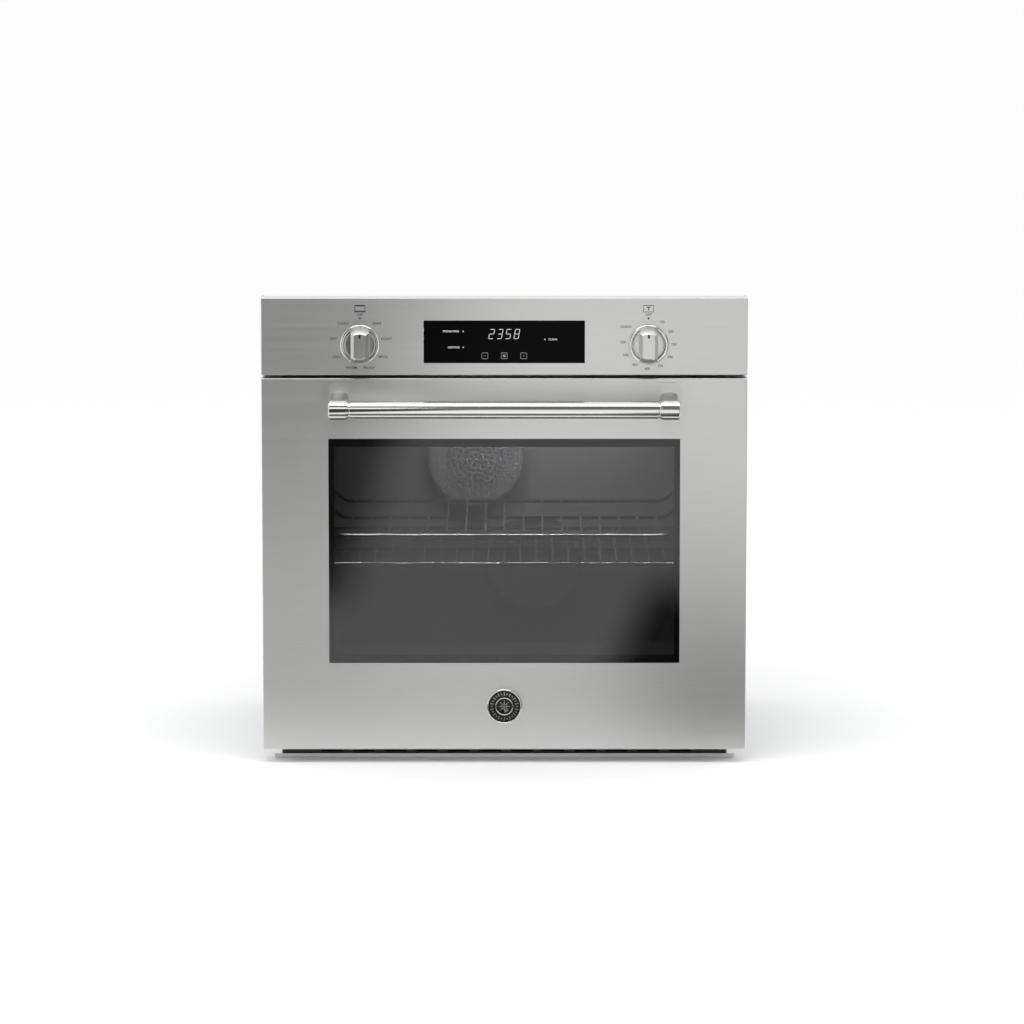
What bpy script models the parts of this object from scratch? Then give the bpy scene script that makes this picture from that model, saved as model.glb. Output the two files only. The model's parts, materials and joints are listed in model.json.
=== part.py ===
"""A 30 inch built-in wall oven: chassis and cavity, drop-down door, racks, knobs and fans.

Metres, +Z up. Someone who faces the door looks along +Y and has +X on their right.
The origin is at the bottom centre of the whole oven. Every place in depth is given by
back(d), a distance d behind the plane of the door's and the control panel's faces.
"""

import math

import bmesh
import bpy
from mathutils import Matrix, Vector

# Overall size
WIDTH = 0.7588
HEIGHT = 0.7366
DEPTH = 0.6700
GAP = 0.0003
SHEET = 0.0012

# Handle: a bar between two end caps, each on a post
BAR_R = 0.0137
CAP_R = 0.0155
STANDOFF = 0.0580
HANDLE_Z = 0.5684
CAP_IN = 0.2420
CAP_OUT = 0.2727
FOOT_IN = 0.2435
FOOT_OUT = 0.2808
FOOT_H = 0.0525
FOOT_T = 0.0040

FACE_Y = -DEPTH / 2 + STANDOFF + CAP_R

# Front: door, gap and control panel
PANEL_H = 0.1213
PANEL_GAP = 0.0050
DOOR_BOTTOM = 0.0221
PANEL_BOTTOM = HEIGHT - PANEL_H
DOOR_TOP = PANEL_BOTTOM - PANEL_GAP
DOOR_D = 0.0400
BEND_R = 0.0028

# Window in the door, and what lies behind it
WINDOW_X = 0.2750
WINDOW_LOW = 0.1597
WINDOW_HIGH = 0.5152
MASK_X = 0.2665
MASK_LOW = 0.1665
MASK_HIGH = 0.5018
GLASS_T = 0.0040
PANE_LAP = 0.0112
FRAME_LAP = 0.0152
BADGE_Z = 0.0910

# Display and knobs
DISPLAY_X = 0.12545
DISPLAY_LOW = PANEL_BOTTOM + 0.0192
DISPLAY_HIGH = HEIGHT - 0.0357
KNOB_X = 0.2248
KNOB_Z = PANEL_BOTTOM + 0.0482
BEZEL_R = 0.0314
SKIRT_R = 0.0245
GRIP_R = 0.0300
GRIP_REACH = 0.0300
GRIP_FOOT = 0.0060
GRIP_BASE_T = 0.0281
GRIP_FRONT_T = 0.0184
GRIP_SLOPE = 0.0055
SHAFT_R = 0.0030

# Chassis
SIDE_X = 0.3520
FRAME_D = 0.0470
REAR_D = 0.5745
TOP_FRONT_Z = 0.7140
TOP_REAR_Z = 0.6660
TOP_BREAK_D = 0.1500
TRAY_Z = 0.5960
TRIM_X = 0.3760
TRIM_LOW = 0.0240
TRIM_HIGH = 0.7280
FRAME_HIGH = 0.6040
STRIP_D = 0.0435
STRIP_X = 0.3630
STRIP_H = 0.0069

# Cavity
CAVITY_X = 0.3060
CAVITY_LOW = 0.1100
CAVITY_HIGH = 0.5460
CAVITY_D = 0.4860
LINER_T = 0.0015
WOOL_D = 0.5270
WOOL_LOW = 0.0660
WOOL_HIGH = 0.5740
GASKET_R = 0.0032

# Convection fans
FAN_X = 0.0485
FAN_HIGH_Z = 0.4180
FAN_LOW_Z = 0.2450
FAN_COVER_R = 0.0800
FAN_COVER_H = 0.0280
IMPELLER_R = 0.0600

# Racks
RACK_X = 0.2880
RACK_FRONT_D = 0.0660
RACK_REAR_D = 0.4400
RACK_LEVELS = (0.1643, 0.2353, 0.3063, 0.3773, 0.4483)
RAIL_R = 0.0032
WIRE_R = 0.0022
OFFSET_DROP = 0.0250
OFFSET_RUN = 0.0280
RUNG_OUT = 0.0035
RUNG_DOWN = 0.0062

# Door hinges
HINGE_X = 0.3200
HINGE_D = 0.0120
HINGE_Z = DOOR_BOTTOM + 0.0100
PIN_R = 0.0035
ARM_T = 0.0050
ARM_H = 0.0120

# Latch and door switch, above the wool and under the tray
LATCH_Z = 0.5850
LATCH_D = 0.0800
LATCH_REACH = 0.0500
LATCH_HALF = 0.0048
NOSE = 0.0130
NOSE_T = 0.0055
SLOT_H = 0.0080
SWITCH_X = 0.2500

# Cooling fan on the tray
BLOWER_D = 0.3500
BLOWER_Z = 0.6270
BLOWER_R = 0.0240
BLOWER_X = 0.1200

SIDES = (("left", -1), ("right", 1))


def back(d):
    """The Y of a place that is d behind the door's face."""
    return FACE_Y + d


# Scene, materials and placing


def clear_scene():
    for obj in list(bpy.data.objects):
        bpy.data.objects.remove(obj)
    for collection in list(bpy.data.collections):
        bpy.data.collections.remove(collection)


def new_collection(name):
    collection = bpy.data.collections.new(name)
    bpy.context.scene.collection.children.link(collection)
    return collection


def material(name, colour, roughness, metallic=0.0):
    mat = bpy.data.materials.new(name)
    mat.use_nodes = True
    shader = mat.node_tree.nodes["Principled BSDF"]
    shader.inputs["Base Color"].default_value = (*colour, 1.0)
    shader.inputs["Roughness"].default_value = roughness
    shader.inputs["Metallic"].default_value = metallic
    mat.diffuse_color = (*colour, 1.0)
    return mat


clear_scene()
OVEN = new_collection("wall_oven")
CUTTERS = new_collection("cutters")

STEEL = material("brushed_steel", (0.62, 0.62, 0.61), 0.32, 1.0)
POLISHED = material("polished_steel", (0.80, 0.80, 0.79), 0.15, 1.0)
GALVANISED = material("galvanised_sheet", (0.55, 0.57, 0.58), 0.45, 0.9)
ENAMEL = material("dark_enamel", (0.03, 0.03, 0.035), 0.25)
CHROME_WIRE = material("chrome_wire", (0.75, 0.75, 0.75), 0.18, 1.0)
TINTED = material("tinted_glass", (0.05, 0.05, 0.05), 0.05)
CLEAR = material("clear_glass", (0.80, 0.82, 0.82), 0.03)
BLACK = material("black_plastic", (0.02, 0.02, 0.02), 0.35)
BOARD = material("board_cover", (0.80, 0.80, 0.78), 0.50)
SHEATH = material("element_sheath", (0.10, 0.10, 0.10), 0.50, 0.8)
WOOL = material("mineral_wool", (0.72, 0.68, 0.52), 0.95)
BRAID = material("glass_braid", (0.55, 0.55, 0.52), 0.90)
CAST = material("cast_hinge_steel", (0.40, 0.40, 0.41), 0.40, 1.0)


def empty_at(name, place):
    """A parent whose origin is on a joint's axis."""
    empty = bpy.data.objects.new(name, None)
    empty.location = place
    OVEN.objects.link(empty)
    return empty


def hang_on(parent, *pieces):
    for piece in pieces:
        piece.parent = parent
        piece.matrix_parent_inverse = Matrix.Translation(-Vector(parent.location))


def add(name, data, place, mat, turn=(0, 0, 0), cutter=False):
    """Links a mesh or curve as one object. A cutter is kept out of the render."""
    obj = bpy.data.objects.new(name, data)
    obj.location = place
    obj.rotation_euler = turn
    (CUTTERS if cutter else OVEN).objects.link(obj)
    if cutter:
        obj.hide_render = True
        obj.display_type = "WIRE"
    else:
        obj.data.materials.append(mat)
    return obj


def mesh_from(bm, name):
    mesh = bpy.data.meshes.new(name)
    bm.to_mesh(mesh)
    bm.free()
    return mesh


# Solids


def block_bmesh(size):
    bm = bmesh.new()
    bmesh.ops.create_cube(bm, size=1.0)
    bmesh.ops.scale(bm, vec=size, verts=bm.verts)
    return bm


def block(name, low, high, mat=None, bevel=0.0, cutter=False):
    """A box between two corners, with its origin at its centre."""
    low, high = Vector(low), Vector(high)
    obj = add(name, mesh_from(block_bmesh(high - low), name), (low + high) / 2, mat, cutter=cutter)
    if bevel:
        round_edges(obj, bevel)
    return obj


def round_edges(obj, width, segments=2, angle=40):
    bevel = obj.modifiers.new("rounded_edges", "BEVEL")
    bevel.width = width
    bevel.segments = segments
    bevel.limit_method = "ANGLE"
    bevel.angle_limit = math.radians(angle)
    return bevel


def pan(name, low, high, open_side, mat, wall=SHEET, bend=0.0):
    """A folded sheet tray: a box with one side missing, and its wall inside the given box."""
    low, high = Vector(low), Vector(high)
    bm = block_bmesh(high - low)
    outward = Vector(open_side)
    missing = [f for f in bm.faces if f.normal.dot(outward) > 0.9]
    bmesh.ops.delete(bm, geom=missing, context="FACES")
    if bend:
        folds = [e for e in bm.edges if not e.is_boundary]
        bmesh.ops.bevel(bm, geom=folds, offset=bend, segments=2, profile=0.5, affect="EDGES")
    obj = add(name, mesh_from(bm, name), (low + high) / 2, mat)
    shell = obj.modifiers.new("sheet", "SOLIDIFY")
    shell.thickness = wall
    shell.offset = -1
    shell.use_even_offset = True
    return obj


def rod(name, start, end, radius, mat=None, sides=24, cutter=False, far_radius=None):
    """A round bar between two points, with its origin at its middle."""
    start, end = Vector(start), Vector(end)
    along = end - start
    bm = bmesh.new()
    bmesh.ops.create_cone(
        bm,
        cap_ends=True,
        segments=sides,
        radius1=radius,
        radius2=radius if far_radius is None else far_radius,
        depth=along.length,
    )
    turn = along.to_track_quat("Z", "Y").to_euler()
    obj = add(name, mesh_from(bm, name), (start + end) / 2, mat, turn, cutter)
    if not cutter:
        smooth(obj)
    return obj


def smooth(obj, angle=35):
    obj.data.shade_smooth()
    obj.data.set_sharp_from_angle(angle=math.radians(angle))


def turned(name, profile, place, mat, steps=28):
    """A turned shape about its own Y axis: profile points are (radius, y), from front to back."""
    bm = bmesh.new()
    points = [bm.verts.new((r, 0.0, -y)) for r, y in profile]
    for a, b in zip(points, points[1:]):
        bm.edges.new((a, b))
    if profile[0] == profile[-1]:
        bmesh.ops.remove_doubles(bm, verts=bm.verts, dist=1e-6)
    obj = add(name, mesh_from(bm, name), place, mat, (math.radians(90), 0, 0))
    screw = obj.modifiers.new("turned", "SCREW")
    screw.axis = "Z"
    screw.steps = steps
    screw.render_steps = steps
    screw.use_merge_vertices = True
    screw.merge_threshold = 0.00001
    screw.use_smooth_shade = True
    return obj


def outline_curve(name, loops, thickness):
    """A flat 2D curve with holes, filled and extruded to a thickness about its plane."""
    curve = bpy.data.curves.new(name, "CURVE")
    curve.dimensions = "2D"
    curve.fill_mode = "BOTH"
    curve.extrude = thickness / 2
    for loop in loops:
        spline = curve.splines.new("POLY")
        spline.points.add(len(loop) - 1)
        for point, (u, v) in zip(spline.points, loop):
            point.co = (u, v, 0.0, 1.0)
        spline.use_cyclic_u = True
    return curve


def side_plate(name, loops, x, thickness, mat):
    """A plate that stands across X. Its outline is in (y, z), about the world origin."""
    turn = Matrix(((0, 0, 1), (1, 0, 0), (0, 1, 0))).to_euler()
    return add(name, outline_curve(name, loops, thickness), (x, 0, 0), mat, turn)


def front_plate(name, loops, y, thickness, mat):
    """A plate that stands across Y. Its outline is in (x, z), about the world origin."""
    turn = (math.radians(90), 0, 0)
    return add(name, outline_curve(name, loops, thickness), (0, y, 0), mat, turn)


def flat_plate(name, loops, z, thickness, mat, place=(0, 0)):
    """A plate that lies across Z. Its outline is in (x, y), about place."""
    return add(name, outline_curve(name, loops, thickness), (*place, z), mat)


def rectangle(u0, v0, u1, v1):
    return [(u0, v0), (u1, v0), (u1, v1), (u0, v1)]


def arc(centre, radius, start, end, steps):
    """Points on an arc, angles in degrees."""
    angles = [math.radians(start + (end - start) * i / steps) for i in range(steps + 1)]
    return [(centre[0] + radius * math.cos(a), centre[1] + radius * math.sin(a)) for a in angles]


def circle(centre, radius, steps):
    return arc(centre, radius, 0, 360, steps)[:-1]


def rounded_rectangle(u0, v0, u1, v1, radius, steps=4):
    corners = ((u1, v1, 0), (u0, v1, 90), (u0, v0, 180), (u1, v0, 270))
    loop = []
    for u, v, start in corners:
        centre = (u - math.copysign(radius, u - (u0 + u1) / 2), v - math.copysign(radius, v - (v0 + v1) / 2))
        loop += arc(centre, radius, start, start + 90, steps)
    return loop


def tube(name, paths, radius, mat, closed=False, resolution=1):
    """Round wire along one or more paths. A path is (points, radius factor)."""
    curve = bpy.data.curves.new(name, "CURVE")
    curve.dimensions = "3D"
    curve.bevel_depth = radius
    curve.bevel_resolution = resolution
    curve.use_fill_caps = True
    for points, factor in paths:
        spline = curve.splines.new("POLY")
        spline.points.add(len(points) - 1)
        for point, place in zip(spline.points, points):
            point.co = (*place, 1.0)
            point.radius = factor
        spline.use_cyclic_u = closed
    return add(name, curve, (0, 0, 0), mat)


def as_mesh(obj):
    """Replaces a curve object by the same shape as a mesh, so that it can be cut or joined."""
    graph = bpy.context.evaluated_depsgraph_get()
    mesh = bpy.data.meshes.new_from_object(obj.evaluated_get(graph))
    bm = bmesh.new()
    bm.from_mesh(mesh)
    bmesh.ops.remove_doubles(bm, verts=bm.verts, dist=1e-6)
    bm.to_mesh(mesh)
    bm.free()
    name, place, collection = obj.name, obj.matrix_basis.copy(), obj.users_collection[0]
    bpy.data.objects.remove(obj)
    made = bpy.data.objects.new(name, mesh)
    made.matrix_basis = place
    collection.objects.link(made)
    return made


def boolean(obj, other, operation):
    """Cuts obj by other, or joins other to it. The other object is a helper from then on."""
    if other.name not in CUTTERS.objects:
        OVEN.objects.unlink(other)
        CUTTERS.objects.link(other)
        other.hide_render = True
        other.display_type = "WIRE"
    step = obj.modifiers.new(other.name, "BOOLEAN")
    step.object = other
    step.operation = operation
    step.solver = "EXACT"
    return obj


def cut(obj, *cutters):
    for cutter in cutters:
        boolean(obj, cutter, "DIFFERENCE")
    return obj


def join(obj, *others):
    for other in others:
        boolean(obj, other, "UNION")
    return obj


def slots(name, count, pitch, low, high, axis):
    """A row of box cutters in one mesh: the first between low and high, the rest at a pitch along an axis."""
    low, high = Vector(low), Vector(high)
    bm = bmesh.new()
    step = Vector(axis) * pitch
    for i in range(count):
        cube = bmesh.ops.create_cube(bm, size=1.0)["verts"]
        bmesh.ops.scale(bm, vec=high - low, verts=cube)
        bmesh.ops.translate(bm, vec=(low + high) / 2 + step * i, verts=cube)
    return add(name, mesh_from(bm, name), (0, 0, 0), None, cutter=True)


# Chassis sheet metal


def top_profile(drop=0.0):
    """The cover's line in (y, z), front to rear, lowered by drop."""
    return [
        (back(FRAME_D + 0.0020), TOP_FRONT_Z - drop),
        (back(TOP_BREAK_D), TOP_FRONT_Z - drop),
        (back(REAR_D - SHEET - GAP), TOP_REAR_Z - drop),
    ]


def make_chassis():
    low_y, high_y = back(FRAME_D + SHEET + GAP), back(REAR_D)
    inside = SIDE_X - SHEET - GAP
    base = pan("base_pan", (-inside, low_y, 0), (inside, high_y - SHEET - GAP, 0.030), (0, 0, 1), GALVANISED)
    cut(
        base,
        slots(
            "base_vents", 12, 0.0500, (-0.290, low_y - 0.01, 0.009), (-0.255, low_y + 0.01, 0.021), (1, 0, 0)
        ),
        slots("arm_clearance", 2, 2 * HINGE_X, (-HINGE_X - 0.010, low_y - 0.01, HINGE_Z - 0.014),
              (-HINGE_X + 0.010, low_y + 0.07, HINGE_Z + 0.014), (1, 0, 0)),
    )
    slope = [(high_y, TOP_REAR_Z), (back(TOP_BREAK_D), TOP_FRONT_Z)]
    edge = [(low_y, 0.0), (high_y, 0.0), *slope, (low_y, TOP_FRONT_Z)]
    for side, sign in SIDES:
        plate = as_mesh(
            side_plate(f"side_panel_{side}", [edge], sign * (SIDE_X - SHEET / 2), SHEET, GALVANISED)
        )
        x = sign * SIDE_X
        louvres = slots(f"side_louvres_{side}", 6, 0.0140, (x - 0.01, back(0.400), 0.610),
                        (x + 0.01, back(0.500), 0.616), (0, 0, -1))
        cut(plate, louvres)
    rear = block("rear_panel", (-inside, high_y - SHEET, 0.0010), (inside, high_y, TOP_REAR_Z - 0.0015),
                 GALVANISED)
    cut(
        rear,
        slots(
            "rear_louvres", 7, 0.0160, (-0.150, high_y - 0.01, 0.520), (0.150, high_y + 0.01, 0.526), (0, 0, 1)
        ),
        rod("supply_hole", (-0.230, high_y - 0.01, 0.130), (-0.230, high_y + 0.01, 0.130), 0.012,
            cutter=True),
    )
    under = top_profile(SHEET)
    cover = side_plate("top_cover", [top_profile() + under[::-1]], 0.0, 2 * inside, GALVANISED)
    cover = as_mesh(cover)
    vents = slots("top_vents", 8, 0.0300, (-0.120, back(0.200), 0.640), (-0.110, back(0.290), 0.720), (1, 0, 0))
    cut(cover, vents)


def make_front_frame():
    """The plate that carries the door, with the cavity's mouth and the slots for arms, latch and switch."""
    mouth = rectangle(-CAVITY_X - 0.0005, CAVITY_LOW - 0.0005, CAVITY_X + 0.0005, CAVITY_HIGH + 0.0005)
    edge = rectangle(-SIDE_X + 0.0005, 0.0125, SIDE_X - 0.0005, FRAME_HIGH)
    arms = []
    for _, s in SIDES:
        x = s * HINGE_X
        arms.append(rectangle(x - 0.0050, HINGE_Z - 0.0080, x + 0.0050, HINGE_Z + 0.0080))
    latch = rectangle(-0.0080, LATCH_Z - SLOT_H / 2, 0.0430, LATCH_Z + SLOT_H / 2)
    switch = circle((SWITCH_X, LATCH_Z), 0.0046, 16)
    y = back(FRAME_D + SHEET / 2)
    front_plate("front_frame", [edge, mouth, *arms, latch, switch], y, SHEET, GALVANISED)
    for side, sign in SIDES:
        inner, outer = SIDE_X + GAP, TRIM_X
        face_y, skirt_y = back(FRAME_D - 0.0015), back(FRAME_D + 0.0180)
        corner = [
            (sign * inner, face_y),
            (sign * outer, face_y),
            (sign * outer, face_y + 0.0015),
            (sign * (inner + SHEET), face_y + 0.0015),
            (sign * (inner + SHEET), skirt_y),
            (sign * inner, skirt_y),
        ]
        middle = (TRIM_LOW + TRIM_HIGH) / 2
        trim = as_mesh(flat_plate(f"side_trim_{side}", [corner], middle, TRIM_HIGH - TRIM_LOW, STEEL))
        for i in range(4):
            z = 0.080 + i * 0.150
            x = sign * 0.3660
            cut(trim, rod(f"trim_hole_{side}_{i}", (x, face_y - 0.01, z), (x, face_y + 0.01, z), 0.0025,
                          sides=12, cutter=True))
    near, far = back(STRIP_D), back(FRAME_D + SHEET)
    inner = near + SHEET
    angle = [(near, 0.0), (far, 0.0), (far, SHEET), (inner, SHEET), (inner, STRIP_H), (near, STRIP_H)]
    side_plate("bottom_trim", [angle], 0.0, 2 * STRIP_X, STEEL)


def make_cavity():
    """The enamelled box, the wool round it and the seal round its mouth."""
    low = (-CAVITY_X - LINER_T, back(FRAME_D + SHEET + GAP), CAVITY_LOW - LINER_T)
    high = (CAVITY_X + LINER_T, back(CAVITY_D + LINER_T), CAVITY_HIGH + LINER_T)
    liner = pan("cavity_liner", low, high, (0, -1, 0), ENAMEL, wall=LINER_T)
    wool = block("insulation_wrap", (-0.3495, back(FRAME_D + 0.0020), WOOL_LOW),
                 (0.3495, back(WOOL_D), WOOL_HIGH), WOOL)
    hollow = block(
        "wool_hollow",
        (low[0] - GAP, back(0), 0.0830),
        (high[0] + GAP, high[1] + GAP, high[2] + GAP),
        cutter=True,
    )
    cut(wool, hollow)
    for level, x, z in (("upper", -FAN_X, FAN_HIGH_Z), ("lower", FAN_X, FAN_LOW_Z)):
        ends = ((x, back(0.47), z), (x, back(0.56), z))
        bore = rod(f"shaft_bore_{level}", *ends, 0.0060, sides=12, cutter=True)
        cut(liner, bore)
        cut(wool, bore)
    lamp = rod("lamp_bore", (-CAVITY_X + 0.02, back(0.33), 0.490), (-0.345, back(0.33), 0.490), 0.0310,
               sides=20, cutter=True)
    ends = ((0.200, back(0.47), 0.500), (0.200, back(0.54), 0.500))
    probe = rod("probe_bore", *ends, 0.0045, sides=12, cutter=True)
    near, far = back(0.47), back(0.54)
    broil = slots("broil_bores", 2, 0.080, (-0.0460, near, 0.5110), (-0.0340, far, 0.5230), (1, 0, 0))
    cut(liner, lamp, probe, broil)
    cut(wool, lamp, probe, broil)
    cut(wool, slots("bake_bores", 2, 0.080, (-0.0460, near, 0.0870), (-0.0340, far, 0.0990), (1, 0, 0)))
    loop = rounded_rectangle(-0.3190, 0.0970, 0.3190, 0.5590, 0.0200, 4)
    y = back((DOOR_D + FRAME_D) / 2)
    tube("door_gasket", [([(x, y, z) for x, z in loop], 1.0)], GASKET_R, BRAID, closed=True)


# Heating and air


def make_fan(level, x, z):
    """One convection fan: perforated cover, ring element, impeller on its shaft, and motor."""
    front = back(CAVITY_D - FAN_COVER_H)
    rim = back(CAVITY_D - GAP)
    profile = [(0.0, 0.0), (FAN_COVER_R - 0.0060, 0.0)]
    profile += [(FAN_COVER_R, 0.0050), (FAN_COVER_R, FAN_COVER_H - GAP)]
    inner = [(r - SHEET, y + (SHEET if i < 2 else 0.0)) for i, (r, y) in enumerate(profile)][1:]
    inner[-1] = (FAN_COVER_R - SHEET, FAN_COVER_H - GAP)
    turned(f"fan_cover_{level}", profile + inner[::-1] + [(0.0, SHEET)], (x, front, z), ENAMEL)
    ring = [(x + 0.0700 * math.cos(a), back(0.4700), z + 0.0700 * math.sin(a))
            for a in (2 * math.pi * i / 20 for i in range(20))]
    tube(f"ring_element_{level}", [(ring, 1.0)], 0.0035, SHEATH, closed=True)
    blades = []
    for i in range(8):
        middle = 45.0 * i
        width = 0.0012
        hub = 0.0130
        half = math.degrees(width / hub)
        tip = math.degrees(width / IMPELLER_R)
        blades += arc((0, 0), hub, middle - 45 + half, middle - half, 3)
        blades += arc((0, 0), IMPELLER_R, middle - tip, middle + tip, 1)
    wheel = as_mesh(
        add(f"fan_impeller_{level}", outline_curve("impeller", [blades], 0.0180), (x, back(0.4720), z),
            CAST, (math.radians(90), 0, 0))
    )
    disc = rod(f"impeller_disc_{level}", (x, back(0.4795), z), (x, back(0.4815), z), IMPELLER_R - 0.004, CAST)
    shaft = rod(f"impeller_shaft_{level}", (x, back(0.4660), z), (x, back(0.5400), z), SHAFT_R, CAST, 12)
    join(wheel, disc, shaft)
    motor = rod(f"fan_motor_{level}", (x, back(WOOL_D + GAP), z), (x, back(0.5700), z), 0.0300, GALVANISED)
    bore = rod(f"motor_bore_{level}", (x, back(0.50), z), (x, back(0.5450), z), SHAFT_R + 0.0004, sides=12,
               cutter=True)
    cut(motor, bore)
    return wheel


def serpentine(x_half, near, far, legs, z, bend=0.0150):
    """A flat zigzag with round bends: in at the back, along the legs, and out at the back."""
    pitch = 2 * x_half / (legs - 1)
    points = [(-0.040, back(WOOL_D + 0.004), z), (-0.040, back(far + 0.028), z)]
    points += [(-0.052, back(far + 0.016), z), (-x_half + bend, back(far + 0.016), z)]
    for i in range(legs):
        x = -x_half + pitch * i
        first, second = (far, near) if i % 2 == 0 else (near, far)
        for end, toward in ((first, second), (second, first)):
            sign = 1 if toward > end else -1
            points.append((x, back(end + sign * bend), z))
    points += [(x_half - bend, back(far + 0.016), z), (0.052, back(far + 0.016), z)]
    points += [(0.040, back(far + 0.028), z), (0.040, back(WOOL_D + 0.004), z)]
    return soften(points)


def soften(points, cut_share=0.30, longest=0.0120):
    """Cuts each corner, which turns it into a short bend, and keeps the two ends."""
    softened = [points[0]]
    for a, b in zip(points, points[1:]):
        a, b = Vector(a), Vector(b)
        step = (b - a).normalized() * min(longest, (b - a).length * cut_share)
        softened += [tuple(a + step), tuple(b - step)]
    softened.append(points[-1])
    return softened


def make_heating():
    tube("broil_element", [(serpentine(0.2200, 0.1200, 0.4000, 6, 0.5170), 1.0)], 0.0035, SHEATH)
    tube("bake_element", [(serpentine(0.2400, 0.1000, 0.4200, 4, 0.0930), 1.0)], 0.0035, SHEATH)
    tip, tail = (0.200, back(0.4150), 0.500), (0.200, back(0.5450), 0.500)
    rod("temperature_probe", tip, tail, 0.0030, CHROME_WIRE, 12)
    lamp = rod("oven_lamp", (-CAVITY_X + 0.0060, back(0.33), 0.490), (-0.3440, back(0.33), 0.490), 0.0300,
               GALVANISED)
    cut(lamp, rod("lamp_hollow", (-CAVITY_X + 0.02, back(0.33), 0.490), (-0.3420, back(0.33), 0.490), 0.0270,
                  cutter=True))


def make_cooling():
    """The tray over the cavity and the tangential blower that stands on it."""
    tray = pan("electronics_tray", (-0.3490, back(0.0520), TRAY_Z), (0.3490, back(0.5700), TRAY_Z + 0.0080),
               (0, 0, 1), GALVANISED)
    low, high = (-0.110, back(0.270), TRAY_Z - 0.01), (0.110, back(0.290), TRAY_Z + 0.02)
    cut(tray, block("blower_outlet", low, high, cutter=True))
    floor = TRAY_Z + SHEET + GAP
    housing = pan("cooling_fan_housing", (-BLOWER_X - 0.0100, back(0.3000), floor),
                  (BLOWER_X + 0.0100, back(0.4000), floor + 0.0620), (0, -1, 0), GALVANISED)
    axle = rod("axle_bore", (-0.20, back(BLOWER_D), BLOWER_Z), (0.20, back(BLOWER_D), BLOWER_Z), 0.0034,
               sides=16, cutter=True)
    cut(housing, axle)
    vanes = []
    for i in range(20):
        angle = 18.0 * i
        vanes += arc((0, 0), BLOWER_R, angle, angle + 3, 1)
        vanes += arc((0, 0), BLOWER_R - 0.0070, angle + 7, angle + 14, 1)
    wheel = as_mesh(
        add("cooling_fan_wheel", outline_curve("vanes", [vanes], 2 * BLOWER_X), (0, back(BLOWER_D), BLOWER_Z),
            BLACK, (math.radians(90), 0, math.radians(90)))
    )
    ends = [(x, back(BLOWER_D), BLOWER_Z) for x in (-0.1330, 0.1330)]
    join(wheel, rod("wheel_axle", *ends, 0.0030, CAST, 16))


# Racks and their guides


def rack_wires(level, count, pitch):
    half = pitch * (count - 1) / 2
    z = level + (RAIL_R + WIRE_R) * 0.8
    return [
        ([(x, back(RACK_FRONT_D - 0.0020), z), (x, back(RACK_REAR_D + 0.0020), z)], 1.0)
        for x in (-half + pitch * i for i in range(count))
    ]


def rack_bars(level, rail_z, depths):
    """Cross bars that rise at both ends to the side rails, or run straight where rail_z is the level."""
    bars = []
    for d in depths:
        ends = [(-RACK_X, back(d), rail_z), (RACK_X, back(d), rail_z)]
        inner = [(-RACK_X + OFFSET_RUN, back(d), level), (RACK_X - OFFSET_RUN, back(d), level)]
        bars.append(([ends[0], *inner, ends[1]] if rail_z != level else ends, 1.0))
    return bars


def make_rack(name, level, rail_z, count, pitch, depths):
    bars = as_mesh(tube(name, rack_bars(level, rail_z, depths), RAIL_R, CHROME_WIRE))
    rails = [
        ([(x, back(RACK_FRONT_D - 0.0060), rail_z), (x, back(RACK_REAR_D + 0.0060), rail_z)], 1.0)
        for x in (-RACK_X, RACK_X)
    ]
    rails = tube(f"{name}_rails", rails, RAIL_R, CHROME_WIRE)
    wires = tube(f"{name}_wires", rack_wires(level, count, pitch), WIRE_R, CHROME_WIRE, resolution=0)
    return join(bars, as_mesh(wires), as_mesh(rails))


def make_guides():
    """Wire ladders on the side walls: each rung carries a rack's rail."""
    for side, sign in SIDES:
        x = sign * (RACK_X + RUNG_OUT)
        outer = sign * (CAVITY_X - 0.0050)
        posts = [
            ([(outer, back(d), 0.1250), (outer, back(d), 0.4650)], 1.0)
            for d in (0.1150, 0.4300)
        ]
        rungs = []
        for level in RACK_LEVELS:
            z = level - RUNG_DOWN
            ends = (back(0.0850), back(0.4600))
            rungs.append(([(outer, ends[0], z), (x, ends[0] + 0.0100, z), (x, ends[1] - 0.0100, z),
                           (outer, ends[1], z)], 1.0))
        ladder = as_mesh(tube(f"rack_guide_{side}", posts, RAIL_R, CHROME_WIRE))
        bridge = []
        for d in (0.1150, 0.4300):
            for level in RACK_LEVELS:
                z = level - RUNG_DOWN
                bridge.append(([(x, back(d), z), (outer, back(d), z)], 0.8))
        rails = as_mesh(tube(f"guide_rungs_{side}", rungs, RAIL_R, CHROME_WIRE))
        ties = as_mesh(tube(f"guide_ties_{side}", bridge, RAIL_R, CHROME_WIRE, resolution=0))
        join(ladder, ties, rails)


# Control panel


def make_knob(name, sign):
    """A knob that turns about its own Y axis: skirt, grip bar across it, and shaft."""
    place = (sign * KNOB_X, FACE_Y, KNOB_Z)
    front = -GRIP_REACH
    skirt = turned(
        name,
        [(0.0, -0.0065), (SKIRT_R - 0.0015, -0.0065), (SKIRT_R, -0.0050), (SKIRT_R, -0.0015), (0.0, -0.0015)],
        place,
        POLISHED,
    )
    grip = grip_bar(f"{name}_grip", place, front)
    ends = [(place[0], y, KNOB_Z) for y in (FACE_Y - 0.0040, back(0.0200))]
    shaft = rod(f"{name}_shaft", *ends, SHAFT_R, POLISHED, 16)
    return join(skirt, grip, shaft)


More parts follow.
